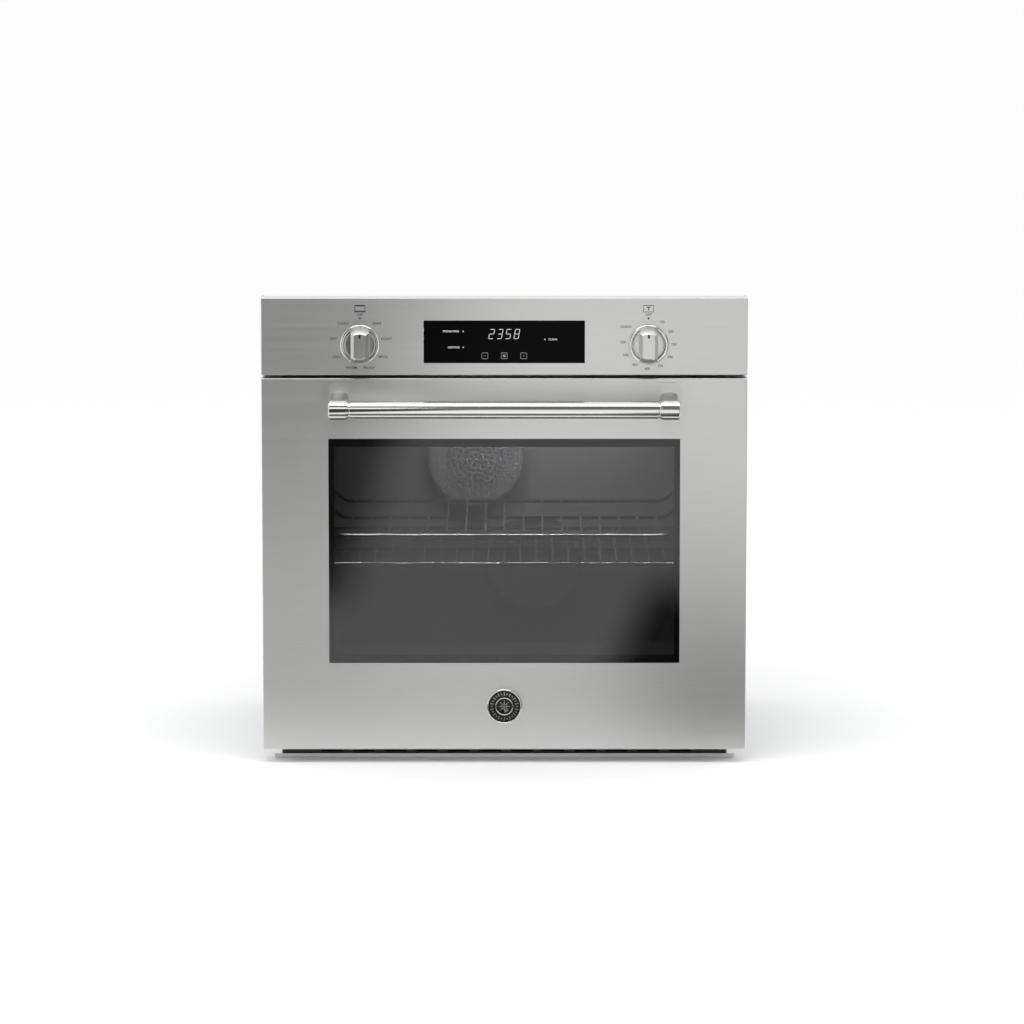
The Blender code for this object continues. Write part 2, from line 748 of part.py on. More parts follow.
def grip_bar(name, place, front):
    """The bar to hold: the part of a cone that lies inside a wedge, so all its sides lean inwards."""
    near, far = FACE_Y - GRIP_FOOT, FACE_Y + front
    bar = rod(name, (place[0], near, KNOB_Z), (place[0], far, KNOB_Z), GRIP_R, POLISHED, 32,
              far_radius=GRIP_R - GRIP_SLOPE)
    bm = block_bmesh((GRIP_BASE_T, near - far, 4 * GRIP_R))
    slim = [v for v in bm.verts if v.co.y < 0]
    bmesh.ops.scale(bm, vec=(GRIP_FRONT_T / GRIP_BASE_T, 1.0, 1.0), verts=slim)
    middle = (place[0], (near + far) / 2, KNOB_Z)
    wedge = add(f"{name}_wedge", mesh_from(bm, name), middle, None, cutter=True)
    return boolean(bar, wedge, "INTERSECT")


def make_control_panel():
    fascia = pan("control_panel", (-WIDTH / 2, FACE_Y, PANEL_BOTTOM), (WIDTH / 2, back(0.0430), HEIGHT),
                 (0, 1, 0), STEEL, bend=BEND_R)
    cut(
        fascia,
        block("panel_top_notch", (-WIDTH / 2 + 0.0040, back(0.0280), HEIGHT - 0.0100),
              (WIDTH / 2 - 0.0040, back(0.0500), HEIGHT + 0.0100), cutter=True),
        block("display_hole", (-DISPLAY_X - GAP, FACE_Y - 0.01, DISPLAY_LOW - GAP),
              (DISPLAY_X + GAP, back(0.01), DISPLAY_HIGH + GAP), cutter=True),
    )
    low, high = (-DISPLAY_X, back(0.0002), DISPLAY_LOW), (DISPLAY_X, back(0.0035), DISPLAY_HIGH)
    block("display_glass", low, high, TINTED)
    block("display_board", (-0.1150, back(0.0040), DISPLAY_LOW + 0.0030),
          (0.1150, back(0.0300), DISPLAY_HIGH - 0.0030), BOARD, bevel=0.0015)
    controls = (("selector_switch", "function_knob"), ("thermostat", "temperature_knob"))
    for (side, sign), (switch, knob) in zip(SIDES, controls):
        x = sign * KNOB_X
        cut(fascia, rod(f"shaft_hole_{side}", (x, FACE_Y - 0.01, KNOB_Z), (x, back(0.01), KNOB_Z), 0.0050,
                        sides=16, cutter=True))
        profile = [(SKIRT_R + 0.0010, -0.0030), (BEZEL_R - 0.0035, -0.0055), (BEZEL_R - 0.0010, -0.0045),
                   (BEZEL_R, -0.0020), (BEZEL_R, -GAP), (SKIRT_R + 0.0010, -GAP), (SKIRT_R + 0.0010, -0.0030)]
        turned(f"knob_bezel_{side}", profile, (x, FACE_Y, KNOB_Z), POLISHED)
        body = block(switch, (x - 0.0200, back(SHEET + GAP), KNOB_Z - 0.0200),
                     (x + 0.0200, back(0.0270), KNOB_Z + 0.0200), BOARD)
        cut(body, rod(f"{switch}_bore", (x, back(-0.01), KNOB_Z), (x, back(0.0220), KNOB_Z), SHAFT_R + 0.0005,
                      sides=20, cutter=True))
        make_knob(knob, sign)


# Door


def make_door():
    low, high = DOOR_BOTTOM, DOOR_TOP
    corners = ((-WIDTH / 2, FACE_Y, low), (WIDTH / 2, back(DOOR_D), high))
    skin = pan("door_skin", *corners, (0, 1, 0), STEEL, bend=BEND_R)
    cut(
        skin,
        block("window_hole", (-WINDOW_X, FACE_Y - 0.01, WINDOW_LOW), (WINDOW_X, back(0.01), WINDOW_HIGH),
              cutter=True),
        slots("skin_arm_slots", 2, 2 * HINGE_X, (-HINGE_X - 0.0050, back(0.0042), low - 0.01),
              (-HINGE_X + 0.0050, back(0.0500), low + 0.01), (1, 0, 0)),
    )
    pieces = [skin]
    outer_x, outer_low, outer_high = WINDOW_X + 0.0120, WINDOW_LOW - PANE_LAP, WINDOW_HIGH + PANE_LAP
    inner_x, inner_low, inner_high = MASK_X + 0.0135, MASK_LOW - 0.0105, MASK_HIGH + 0.0106
    panes = (
        ("door_glass_outer", 0.0016, outer_x, outer_low, outer_high, TINTED),
        ("door_glass_middle", 0.0180, inner_x, inner_low, inner_high, CLEAR),
        ("door_glass_inner", 0.0341, inner_x, inner_low, inner_high + 0.0060, CLEAR),
    )
    for name, d, x, z0, z1, mat in panes:
        pieces.append(block(name, (-x, back(d), z0), (x, back(d + GLASS_T), z1), mat, bevel=0.0006))
    spacer = block("glass_frame", (-WINDOW_X - 0.0170, back(0.0060), WINDOW_LOW - FRAME_LAP),
                   (WINDOW_X + 0.0170, back(0.0337), WINDOW_HIGH + FRAME_LAP), BLACK)
    cut(
        spacer,
        block("mask_hole", (-MASK_X, back(0), MASK_LOW), (MASK_X, back(0.05), MASK_HIGH), cutter=True),
        block("middle_pane_groove", (-inner_x - 0.0004, back(0.0177), inner_low - 0.0004),
              (inner_x + 0.0004, back(0.0223), inner_high + 0.0004), cutter=True),
    )
    pieces.append(spacer)
    inner = pan("door_inner_pan", (-0.3745, back(0.0250), low + 0.0040),
                (0.3745, back(DOOR_D - 0.0003), high - 0.0040), (0, -1, 0), ENAMEL, bend=0.0020)
    cut(
        inner,
        block("inner_window_hole", (-MASK_X - 0.0035, back(0.03), MASK_LOW - 0.0005),
              (MASK_X + 0.0035, back(0.05), MASK_HIGH + 0.0060), cutter=True),
        slots("pan_arm_slots", 2, 2 * HINGE_X, (-HINGE_X - 0.0050, back(0.0200), low - 0.01),
              (-HINGE_X + 0.0050, back(0.0500), HINGE_Z + 0.0080), (1, 0, 0)),
        block("pan_latch_slot", (-0.0080, back(0.0300), LATCH_Z - SLOT_H / 2),
              (0.0350, back(0.0500), LATCH_Z + SLOT_H / 2), cutter=True),
    )
    pieces.append(inner)
    pieces += make_handle()
    profile = [(0.0, -0.0045), (0.0250, -0.0045), (0.0258, -0.0055), (0.0275, -0.0050), (0.0283, -0.0035),
               (0.0283, -GAP), (0.0, -GAP)]
    pieces.append(turned("badge", profile, (0, FACE_Y, BADGE_Z), POLISHED))
    for side, sign in SIDES:
        pieces.append(make_hinge_channel(side, sign))
    return pieces


def make_handle():
    y, z = FACE_Y - STANDOFF, HANDLE_Z
    pieces = [rod("handle_bar", (-CAP_IN + GAP, y, z), (CAP_IN - GAP, y, z), BAR_R, POLISHED, 32)]
    for side, sign in SIDES:
        ends = [(sign * x, y, z) for x in (CAP_IN, CAP_OUT)]
        cap = rod(f"handle_bracket_{side}", *ends, CAP_R, POLISHED, 24)
        round_edges(cap, 0.0012, 1, 60)
        low, high, slant = z - FOOT_H / 2, z + FOOT_H / 2, 0.0080
        outline = [(sign * FOOT_IN, low), (sign * (FOOT_OUT - slant), low), (sign * FOOT_OUT, low + slant),
                   (sign * FOOT_OUT, high - slant), (sign * (FOOT_OUT - slant), high), (sign * FOOT_IN, high)]
        foot_y = FACE_Y - GAP - FOOT_T / 2
        foot = as_mesh(front_plate(f"handle_foot_{side}", [outline], foot_y, FOOT_T, POLISHED))
        middle = sign * (CAP_IN + CAP_OUT) / 2
        post = tapered_post(f"handle_post_{side}", middle, (y + 0.0040, foot_y), z)
        pieces.append(join(cap, post, foot))
    return pieces


def tapered_post(name, x, ends, z):
    """The short arm of a handle bracket, which is slimmer at the bar than at the door."""
    bm = block_bmesh((0.0290, ends[1] - ends[0], 0.0380))
    slim = [v for v in bm.verts if v.co.y < 0]
    bmesh.ops.scale(bm, vec=(0.80, 1.0, 0.62), verts=slim)
    post = add(name, mesh_from(bm, name), (x, sum(ends) / 2, z), POLISHED)
    round_edges(post, 0.0030, 2)
    return post


def make_hinge_channel(side, sign):
    """The door's half of a hinge: a steel channel with the pin across it."""
    x = sign * HINGE_X
    low, high = (x - 0.0080, back(0.0016), DOOR_BOTTOM + 0.0025), (x + 0.0080, back(0.0240), 0.3000)
    channel = block(f"hinge_channel_{side}", low, high, CAST)
    low, high = (x - 0.0062, back(0.0034), -0.02), (x + 0.0062, back(0.05), 0.2982)
    cut(channel, block(f"channel_hollow_{side}", low, high, cutter=True))
    ends = [(u, back(HINGE_D), HINGE_Z) for u in (x - 0.0075, x + 0.0075)]
    pin = rod(f"hinge_pin_{side}", *ends, PIN_R, CAST, 24)
    return join(channel, pin)


# Hinge arms, latch and rear fittings


def make_hinge_arms():
    """The chassis half of each hinge: an arm hooked into a receiver behind the front frame."""
    pivot = (back(HINGE_D), HINGE_Z)
    tail, half = back(0.0950), ARM_H / 2
    outline = arc(pivot, half, 90, 270, 6)
    outline += [(back(0.0600), HINGE_Z - half), (back(0.0600), HINGE_Z - half + 0.0035),
                (back(0.0680), HINGE_Z - half + 0.0035), (back(0.0680), HINGE_Z - half)]
    outline += [(tail, HINGE_Z - half), (tail, HINGE_Z + half)]
    for side, sign in SIDES:
        x = sign * HINGE_X
        side_plate(f"hinge_arm_{side}", [outline, circle(pivot, PIN_R + 0.0003, 16)], x, ARM_T, CAST)
        front, high = back(FRAME_D + SHEET + 2 * GAP + SHEET), HINGE_Z + half + 0.0040
        receiver = block(f"hinge_receiver_{side}", (x - 0.0080, front, HINGE_Z - half - 0.0040),
                         (x + 0.0080, back(0.1100), high), GALVANISED)
        cut(receiver, block(f"receiver_hollow_{side}", (x - 0.0040, back(0), HINGE_Z - half - GAP),
                            (x + 0.0040, back(0.1080), HINGE_Z + half + GAP), cutter=True))


def make_latch():
    """The lock for pyrolytic cleaning: a hook on a vertical pin, which swings forward into the door."""
    reach, half = LATCH_REACH, LATCH_HALF
    hook = [(0.0, half), (reach - NOSE_T, half), (reach, half), (reach, -NOSE), (reach - NOSE_T, -NOSE)]
    hook += [(reach - NOSE_T, -half), (0.0, -half)]
    hook += arc((0, 0), half, 270, 90, 8)[1:-1]
    plate = as_mesh(flat_plate("door_latch", [hook], LATCH_Z, 0.0025, CAST, (0, back(LATCH_D))))
    ends = [(0, back(LATCH_D), z) for z in (WOOL_HIGH + 0.0010, TRAY_Z - 0.0010)]
    pin = rod("latch_pin", *ends, 0.0035, CAST, 16)
    return join(plate, pin)


def make_switch_plunger():
    ends = [(SWITCH_X, back(d), LATCH_Z) for d in (DOOR_D + GAP, 0.0650)]
    return rod("door_switch_plunger", *ends, 0.0038, BLACK, 16)


def make_terminal_box():
    """The cover over the supply terminals, with a gland in its underside."""
    corners = ((-0.3000, back(REAR_D + GAP), 0.0800), (-0.1600, DEPTH / 2, 0.1800))
    cover = pan("terminal_box", *corners, (0, -1, 0), GALVANISED, bend=0.0015)
    y = (back(REAR_D) + DEPTH / 2) / 2
    cut(cover, rod("gland_hole", (-0.2300, y, 0.07), (-0.2300, y, 0.09), 0.0066, sides=20, cutter=True))
    gland = rod("cable_gland", (-0.2300, y, 0.0620), (-0.2300, y, 0.0795), 0.0085, BLACK, 20)
    neck = rod("gland_neck", (-0.2300, y, 0.0700), (-0.2300, y, 0.0900), 0.0062, BLACK, 20)
    join(gland, neck)
    cut(gland, rod("gland_bore", (-0.2300, y, 0.05), (-0.2300, y, 0.10), 0.0045, sides=20, cutter=True))


def main():
    make_chassis()
    make_front_frame()
    make_cavity()
    make_heating()
    make_cooling()
    make_guides()
    make_hinge_arms()
    make_terminal_box()
    make_control_panel()
    door_axis = empty_at("door_axis", (0, back(HINGE_D), HINGE_Z))
    hang_on(door_axis, *make_door())
    make_fan("upper", -FAN_X, FAN_HIGH_Z)
    make_fan("lower", FAN_X, FAN_LOW_Z)
    lower, upper = RACK_LEVELS[2], RACK_LEVELS[3]
    make_rack("oven_rack_lower", lower, lower, 21, 0.0254, (RACK_FRONT_D, 0.2120, 0.3260, RACK_REAR_D))
    make_rack("oven_rack_upper", upper - OFFSET_DROP, upper, 17, 0.0304, (RACK_FRONT_D, 0.2580, RACK_REAR_D))
    make_latch()
    make_switch_plunger()


main()
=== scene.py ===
"""The looks of a built-in wall oven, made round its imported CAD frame.

Every place comes from the frame's own boxes. Lengths are in metres. Someone who faces the
door looks along +Y, with +X on the right.
"""

import json
import math

import bmesh
import bpy
from mathutils import Matrix, Vector


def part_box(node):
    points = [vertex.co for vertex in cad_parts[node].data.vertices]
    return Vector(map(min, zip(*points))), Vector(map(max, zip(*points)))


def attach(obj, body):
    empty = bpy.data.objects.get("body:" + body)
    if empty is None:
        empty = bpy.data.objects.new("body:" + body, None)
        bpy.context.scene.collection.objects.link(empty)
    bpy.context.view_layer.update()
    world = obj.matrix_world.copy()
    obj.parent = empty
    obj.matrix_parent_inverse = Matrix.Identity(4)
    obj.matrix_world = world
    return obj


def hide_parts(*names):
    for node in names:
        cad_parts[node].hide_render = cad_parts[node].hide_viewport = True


MM = 0.001
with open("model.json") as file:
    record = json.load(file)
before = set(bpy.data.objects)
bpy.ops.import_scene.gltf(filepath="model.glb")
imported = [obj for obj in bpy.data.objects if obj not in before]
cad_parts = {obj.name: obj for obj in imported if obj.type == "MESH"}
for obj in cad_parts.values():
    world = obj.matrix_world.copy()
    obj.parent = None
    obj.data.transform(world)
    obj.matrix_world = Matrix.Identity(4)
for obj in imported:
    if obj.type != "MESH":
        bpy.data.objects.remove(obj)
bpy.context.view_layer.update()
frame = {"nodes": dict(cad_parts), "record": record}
NODES = frame["nodes"]

DOOR_LOW, DOOR_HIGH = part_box("door_skin")
PANEL_LOW, PANEL_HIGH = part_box("control_panel")
FACE_Y = DOOR_LOW.y
WIDTH = DOOR_HIGH.x - DOOR_LOW.x
SHEET = 1.2 * MM
BEND = 1.4 * MM
PRINT_THICK = 0.1 * MM
WELD = 1e-6


def middle(node):
    low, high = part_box(node)
    return (low + high) / 2


# Colour and shader helpers


def hex_colour(text):
    """An sRGB hex colour as linear RGBA, opaque."""
    channels = [int(text[i : i + 2], 16) / 255 for i in (0, 2, 4)]
    linear = [c / 12.92 if c <= 0.04045 else ((c + 0.055) / 1.055) ** 2.4 for c in channels]
    return (*linear, 1.0)


def add_node(tree, kind, settings=None, links=None):
    """Adds a node. Settings are properties or input values; links maps an input to an output socket."""
    made = tree.nodes.new(kind)
    for key, value in (settings or {}).items():
        if isinstance(key, str) and hasattr(made, key):
            setattr(made, key, value)
        else:
            made.inputs[key].default_value = value
    for key, socket in (links or {}).items():
        tree.links.new(socket, made.inputs[key])
    return made


def new_finish(name, **values):
    """A material with a Principled shader whose constant sockets are set by name."""
    mat = bpy.data.materials.new(name)
    mat.use_nodes = True
    shader = mat.node_tree.nodes["Principled BSDF"]
    for key, value in values.items():
        shader.inputs[key.replace("_", " ")].default_value = value
    return mat, mat.node_tree, shader


def object_space(tree, scale=(1, 1, 1), turn=(0, 0, 0)):
    """Object coordinates times a scale for each axis."""
    place = add_node(tree, "ShaderNodeTexCoord")
    mapping = add_node(tree, "ShaderNodeMapping", links={"Vector": place.outputs["Object"]})
    mapping.inputs["Scale"].default_value = scale
    mapping.inputs["Rotation"].default_value = turn
    return mapping.outputs["Vector"]


def spread(tree, value, low, high):
    """Maps a 0 to 1 pattern on to a narrow range."""
    made = add_node(tree, "ShaderNodeMapRange", {"To Min": low, "To Max": high}, {"Value": value})
    return made.outputs["Result"]


def bump(tree, shader, height, strength, depth):
    made = add_node(tree, "ShaderNodeBump", {"Strength": strength, "Distance": depth}, {"Height": height})
    tree.links.new(made.outputs["Normal"], shader.inputs["Normal"])


def tint(tree, shader, factor, dark, light):
    """Blends two colours by a pattern into the base colour."""
    ramp = add_node(tree, "ShaderNodeMix", {"data_type": "RGBA"}, {"Factor": factor})
    ramp.inputs[6].default_value = hex_colour(dark)
    ramp.inputs[7].default_value = hex_colour(light)
    tree.links.new(ramp.outputs[2], shader.inputs["Base Color"])


# Finishes


def brushed_steel(name, dark, light, rough, grain_along, stretch):
    """304 stainless, belt brushed: fine parallel scratches that stretch each highlight across the grain."""
    mat, tree, shader = new_finish(name, Metallic=1.0, Anisotropic=stretch)
    across = 1.0 / (0.35 * MM)
    along = across / 260
    scale = [along if axis == grain_along else across for axis in "XYZ"]
    lines = add_node(tree, "ShaderNodeTexNoise", {"Scale": 1.0, "Detail": 3.0, "Roughness": 0.6},
                     {"Vector": object_space(tree, scale)})
    broad = add_node(tree, "ShaderNodeTexNoise", {"Scale": 1.0, "Detail": 2.0},
                     {"Vector": object_space(tree, [s / 9 for s in scale])})
    tint(tree, shader, lines.outputs["Fac"], dark, light)
    tree.links.new(spread(tree, broad.outputs["Fac"], rough * 0.88, rough * 1.12), shader.inputs["Roughness"])
    bump(tree, shader, lines.outputs["Fac"], 0.05, 0.02 * MM)
    tangent = add_node(tree, "ShaderNodeTangent", {"direction_type": "RADIAL", "axis": grain_along})
    tree.links.new(tangent.outputs["Tangent"], shader.inputs["Tangent"])
    return mat


def polished_steel(name, colour, rough):
    """Cast zinc, polished and nickel plated: near mirror, with faint polishing swirls."""
    mat, tree, shader = new_finish(name, Metallic=1.0)
    swirl = add_node(tree, "ShaderNodeTexNoise", {"Scale": 1 / (1.6 * MM), "Detail": 4.0},
                     {"Vector": object_space(tree)})
    shader.inputs["Base Color"].default_value = hex_colour(colour)
    tree.links.new(spread(tree, swirl.outputs["Fac"], rough * 0.8, rough * 1.25), shader.inputs["Roughness"])
    return mat


def galvanised(name):
    """Hot-dip galvanised sheet: flat crystals, each a slightly different grey."""
    mat, tree, shader = new_finish(name, Metallic=0.92)
    space = object_space(tree)
    crystals = add_node(tree, "ShaderNodeTexVoronoi", {"Scale": 1 / (11 * MM), "Randomness": 1.0},
                        {"Vector": space})
    single = add_node(tree, "ShaderNodeSeparateColor", links={"Color": crystals.outputs["Color"]})
    soot = add_node(tree, "ShaderNodeTexNoise", {"Scale": 1 / (90 * MM), "Detail": 3.0}, {"Vector": space})
    both = add_node(tree, "ShaderNodeMath", {"operation": "MULTIPLY_ADD", 1: 0.55},
                    {0: single.outputs["Red"], 2: spread(tree, soot.outputs["Fac"], 0.0, 0.45)})
    tint(tree, shader, both.outputs["Value"], "8b9093", "b4b9bb")
    tree.links.new(spread(tree, single.outputs["Green"], 0.34, 0.50), shader.inputs["Roughness"])
    return mat


def enamel(name, ground, fleck):
    """Vitreous enamel on steel: deep gloss, slight orange peel, pale flecks fused in."""
    mat, tree, shader = new_finish(name, Roughness=0.16, IOR=1.55)
    space = object_space(tree)
    flecks = add_node(tree, "ShaderNodeTexVoronoi", {"Scale": 1 / (2.6 * MM), "Randomness": 1.0},
                      {"Vector": space})
    dots = add_node(tree, "ShaderNodeMapRange", {"From Min": 0.22, "From Max": 0.14},
                    {"Value": flecks.outputs["Distance"]})
    tint(tree, shader, dots.outputs["Result"], ground, fleck)
    peel = add_node(tree, "ShaderNodeTexNoise", {"Scale": 1 / (9 * MM), "Detail": 1.0}, {"Vector": space})
    bump(tree, shader, peel.outputs["Fac"], 0.05, 0.02 * MM)
    return mat


def wire_chrome(name):
    """Nickel and chrome plated wire, a little straw coloured from heat."""
    mat, tree, shader = new_finish(name, Metallic=1.0)
    space = object_space(tree)
    heat = add_node(tree, "ShaderNodeTexNoise", {"Scale": 1 / (60 * MM), "Detail": 2.0}, {"Vector": space})
    tint(tree, shader, heat.outputs["Fac"], "c9c6bf", "e3e2de")
    tree.links.new(spread(tree, heat.outputs["Fac"], 0.12, 0.22), shader.inputs["Roughness"])
    return mat


def pane(name, dark, light, alpha, coat, specular, rough=0.02):
    """Toughened float glass: clear or tinted in the mass, with fine even gloss on both faces."""
    mat, tree, shader = new_finish(name, Roughness=rough, IOR=1.52, Alpha=alpha, Specular_IOR_Level=specular)
    shader.inputs["Coat Weight"].default_value = coat
    shader.inputs["Coat Roughness"].default_value = 0.02
    ripple = add_node(tree, "ShaderNodeTexNoise", {"Scale": 1 / (160 * MM), "Detail": 1.0},
                      {"Vector": object_space(tree)})
    tint(tree, shader, ripple.outputs["Fac"], dark, light)
    return mat


def moulded(name, dark, light, rough, grain_mm=0.6):
    """Moulded thermoset or nylon, or a poured fill: an even skin with the fine grain of its tool."""
    mat, tree, shader = new_finish(name, IOR=1.46)
    grain = add_node(tree, "ShaderNodeTexNoise", {"Scale": 1 / (grain_mm * MM), "Detail": 2.0},
                     {"Vector": object_space(tree)})
    tint(tree, shader, grain.outputs["Fac"], dark, light)
    tree.links.new(spread(tree, grain.outputs["Fac"], rough - 0.06, rough + 0.06), shader.inputs["Roughness"])
    bump(tree, shader, grain.outputs["Fac"], 0.3, 0.04 * MM)
    return mat


def blackened(name):
    """Nickel alloy heater sheath after firing: dark green-grey oxide, uneven along its length."""
    mat, tree, shader = new_finish(name, Metallic=0.75)
    oxide = add_node(tree, "ShaderNodeTexNoise", {"Scale": 1 / (14 * MM), "Detail": 5.0},
                     {"Vector": object_space(tree)})
    tint(tree, shader, oxide.outputs["Fac"], "23241f", "4c4a45")
    tree.links.new(spread(tree, oxide.outputs["Fac"], 0.42, 0.62), shader.inputs["Roughness"])
    return mat


def zinc_plate(name):
    """Stamped hinge steel with a dull zinc plate and rubbed patches."""
    mat, tree, shader = new_finish(name, Metallic=0.95)
    rub = add_node(tree, "ShaderNodeTexNoise", {"Scale": 1 / (7 * MM), "Detail": 4.0},
                   {"Vector": object_space(tree)})
    tint(tree, shader, rub.outputs["Fac"], "77797a", "a2a4a3")
    tree.links.new(spread(tree, rub.outputs["Fac"], 0.28, 0.48), shader.inputs["Roughness"])
    return mat


def wool(name):
    """Yellowish mineral wool: no gloss, loose tangled fibres."""
    mat, tree, shader = new_finish(name, Roughness=0.95)
    fibre = add_node(tree, "ShaderNodeTexNoise", {"Scale": 1 / (1.8 * MM), "Detail": 6.0, "Distortion": 1.5},
                     {"Vector": object_space(tree)})
    tint(tree, shader, fibre.outputs["Fac"], "8f835a", "d6caa0")
    bump(tree, shader, fibre.outputs["Fac"], 0.8, 1.0 * MM)
    return mat


def braid(name):
    """Glass-fibre braid over a wire spring: a diagonal plait that reads as fine dark and pale checks."""
    mat, tree, shader = new_finish(name, Roughness=0.9)
    plait = add_node(tree, "ShaderNodeTexChecker", {"Scale": 1 / (1.4 * MM)},
                     {"Vector": object_space(tree, turn=[math.pi / 4] * 3)})
    tint(tree, shader, plait.outputs["Fac"], "4e4f4e", "8b8b87")
    bump(tree, shader, plait.outputs["Fac"], 0.6, 0.3 * MM)
    return mat


def ink(name, dark, light):
    """Screen-printed ink: flat, slightly uneven edge to edge."""
    mat, tree, shader = new_finish(name, Roughness=0.55)
    patch = add_node(tree, "ShaderNodeTexNoise", {"Scale": 1 / (0.8 * MM), "Detail": 1.0},
                     {"Vector": object_space(tree)})
    tint(tree, shader, patch.outputs["Fac"], dark, light)
    return mat


def lit_segments(name, dark, light, strength):
    """White diodes behind smoked glass: an even pale glow."""
    mat, tree, shader = new_finish(name, Roughness=0.4)
    patch = add_node(tree, "ShaderNodeTexNoise", {"Scale": 1 / (3 * MM), "Detail": 1.0},
                     {"Vector": object_space(tree)})
    tint(tree, shader, patch.outputs["Fac"], dark, light)
    shader.inputs["Emission Color"].default_value = hex_colour(light)
    shader.inputs["Emission Strength"].default_value = strength
    return mat


STEEL = brushed_steel("belt_brushed_stainless", "c6c6c5", "dcdcdb", 0.36, "X", 0.6)
BAR_STEEL = polished_steel("satin_turned_stainless", "dadad8", 0.09)
TRIM_STEEL = brushed_steel("stamped_stainless", "a9a9a8", "c9c9c7", 0.34, "Z", 0.75)
PLATED = polished_steel("polished_nickel_plate", "e2e0da", 0.10)
SATIN_CAST = polished_steel("satin_cast_zinc", "c9c9c6", 0.24)
SATIN_KNOB = polished_steel("satin_plated_knob", "cfcfcd", 0.30)
ZINC_SHEET = galvanised("galvanised_sheet")
ENAMEL = enamel("speckled_vitreous_enamel", "2b2b2c", "6c6c6e")
CHROME = wire_chrome("chrome_plated_wire")
SMOKED = pane("smoked_float_glass", "060707", "070707", 0.50, 0.6, 0.75)
CLEAR = pane("clear_float_glass", "0c0e0d", "0c0e0e", 0.08, 0.0, 0.25)
DISPLAY = pane("black_screened_glass", "010102", "020202", 1.0, 0.0, 0.06, 0.3)
# Black phenolic for the real plastic parts. The same black is painted shade on the base pan, the fan covers'
# holes and the screws' recesses.
BLACK_AND_SHADE = moulded("black_phenolic", "0b0b0c", "161617", 0.42)
BOARD = moulded("white_nylon_housing", "bdbdb8", "dcdcd7", 0.5)
SHEATH = blackened("oxidised_heater_sheath")
HINGE = zinc_plate("zinc_plated_hinge_steel")
WOOL = wool("mineral_wool")
BRAID = braid("glass_fibre_braid")
INK = ink("dark_grey_print", "161617", "222223")
DIODES = lit_segments("white_clock_diodes", "c0c4c5", "c4c8c9", 0.42)
LEGENDS = lit_segments("lit_legends", "c0c4c5", "c4c8c9", 0.42)
DIM_MARKS = lit_segments("dim_touch_marks", "808486", "84888a", 0.12)
BLACK_ENAMEL = moulded("black_badge_enamel", "060606", "101010", 0.22, 2.0)

CAD_FINISHES = {
    "brushed_steel": STEEL,
    "polished_steel": PLATED,
    "galvanised_sheet": ZINC_SHEET,
    "dark_enamel": ENAMEL,
    "chrome_wire": CHROME,
    "tinted_glass": SMOKED,
    "clear_glass": CLEAR,
    "black_plastic": BLACK_AND_SHADE,
    "board_cover": BOARD,
    "element_sheath": SHEATH,
    "mineral_wool": WOOL,
    "glass_braid": BRAID,
    "cast_hinge_steel": HINGE,
}


def finish_cad_nodes():
    """Gives every carried-over CAD node the finish of its record slot. A few get their own finish instead,
    and the base pan is made black as painted shade for the dark gap under the door.
    """
    slots = {part["node"]: part["material_slot"] for part in frame["record"]["subparts"]}
    for name, obj in NODES.items():
        obj.data.materials.clear()
        obj.data.materials.append(CAD_FINISHES[slots[name]])
    # The base pan's black stands in for the shade of the recess under the door: painted shade, not the
    # sheet's own finish.
    own = {"base_pan": BLACK_AND_SHADE, "display_glass": DISPLAY, "side_trim_left": TRIM_STEEL,
           "side_trim_right": TRIM_STEEL}
    for name, mat in own.items():
        NODES[name].data.materials[0] = mat


# Mesh helpers


def linked(name, data):
    """A new object in the scene."""
    obj = bpy.data.objects.new(name, data)
    bpy.context.scene.collection.objects.link(obj)
    return obj


def to_object(bm, name, mat, smooth_angle=35):
    """An object from a bmesh, with outward normals, and smooth where faces meet at less than an angle."""
    bmesh.ops.recalc_face_normals(bm, faces=bm.faces)
    mesh = bpy.data.meshes.new(name)
    bm.to_mesh(mesh)
    bm.free()
    mesh.materials.append(mat)
    mesh.shade_smooth()
    mesh.set_sharp_from_angle(angle=math.radians(smooth_angle))
    return linked(name, mesh)


def settle(obj):
    """Applies every modifier and the object's place, so that the piece is a plain mesh at the origin."""
    graph = bpy.context.evaluated_depsgraph_get()
    graph.update()
    mesh = bpy.data.meshes.new_from_object(obj.evaluated_get(graph), depsgraph=graph)
    mesh.transform(obj.matrix_world)
    name = obj.name
    mats = list(obj.data.materials)
    bpy.data.objects.remove(obj)
    mesh.name = name
    if not mesh.materials:
        for mat in mats:
            mesh.materials.append(mat)
    return linked(name, mesh)


def one_finish(obj, mat):
    """Gives every face the same finish, also the faces that a cutter left."""
    obj.data.materials.clear()
    obj.data.materials.append(mat)
    for face in obj.data.polygons:
        face.material_index = 0
    return obj


def place(piece, body, slot, *nodes):
    """Puts a finished piece on a body and hides the CAD nodes that it stands for. The record slot is not
    used.
    """
    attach(piece, body)
    if nodes:
        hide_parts(*nodes)
    return piece


def spun(name, profile, centre, mat, steps=96, smooth_angle=35):
    """A turned shape about an axis along Y: profile points are (radius, y)."""
    bm = bmesh.new()
    points = [bm.verts.new((r, y, 0)) for r, y in profile]
    edges = [bm.edges.new(pair) for pair in zip(points, points[1:])]
    bmesh.ops.spin(bm, geom=points + edges, cent=(0, 0, 0), axis=(0, 1, 0), angle=2 * math.pi, steps=steps,
                   use_merge=True)
    bmesh.ops.remove_doubles(bm, verts=bm.verts, dist=WELD)
    bmesh.ops.translate(bm, vec=centre, verts=bm.verts)
    return to_object(bm, name, mat, smooth_angle)


def cube_mesh(low, high):
    """A bmesh of a plain box between two corners."""
    low, high = Vector(low), Vector(high)
    bm = bmesh.new()
    bmesh.ops.create_cube(bm, size=1.0)
    bmesh.ops.scale(bm, vec=high - low, verts=bm.verts)
    bmesh.ops.translate(bm, vec=(low + high) / 2, verts=bm.verts)
    return bm


def plain_box(name, low, high, mat):
    return to_object(cube_mesh(low, high), name, mat, 60)


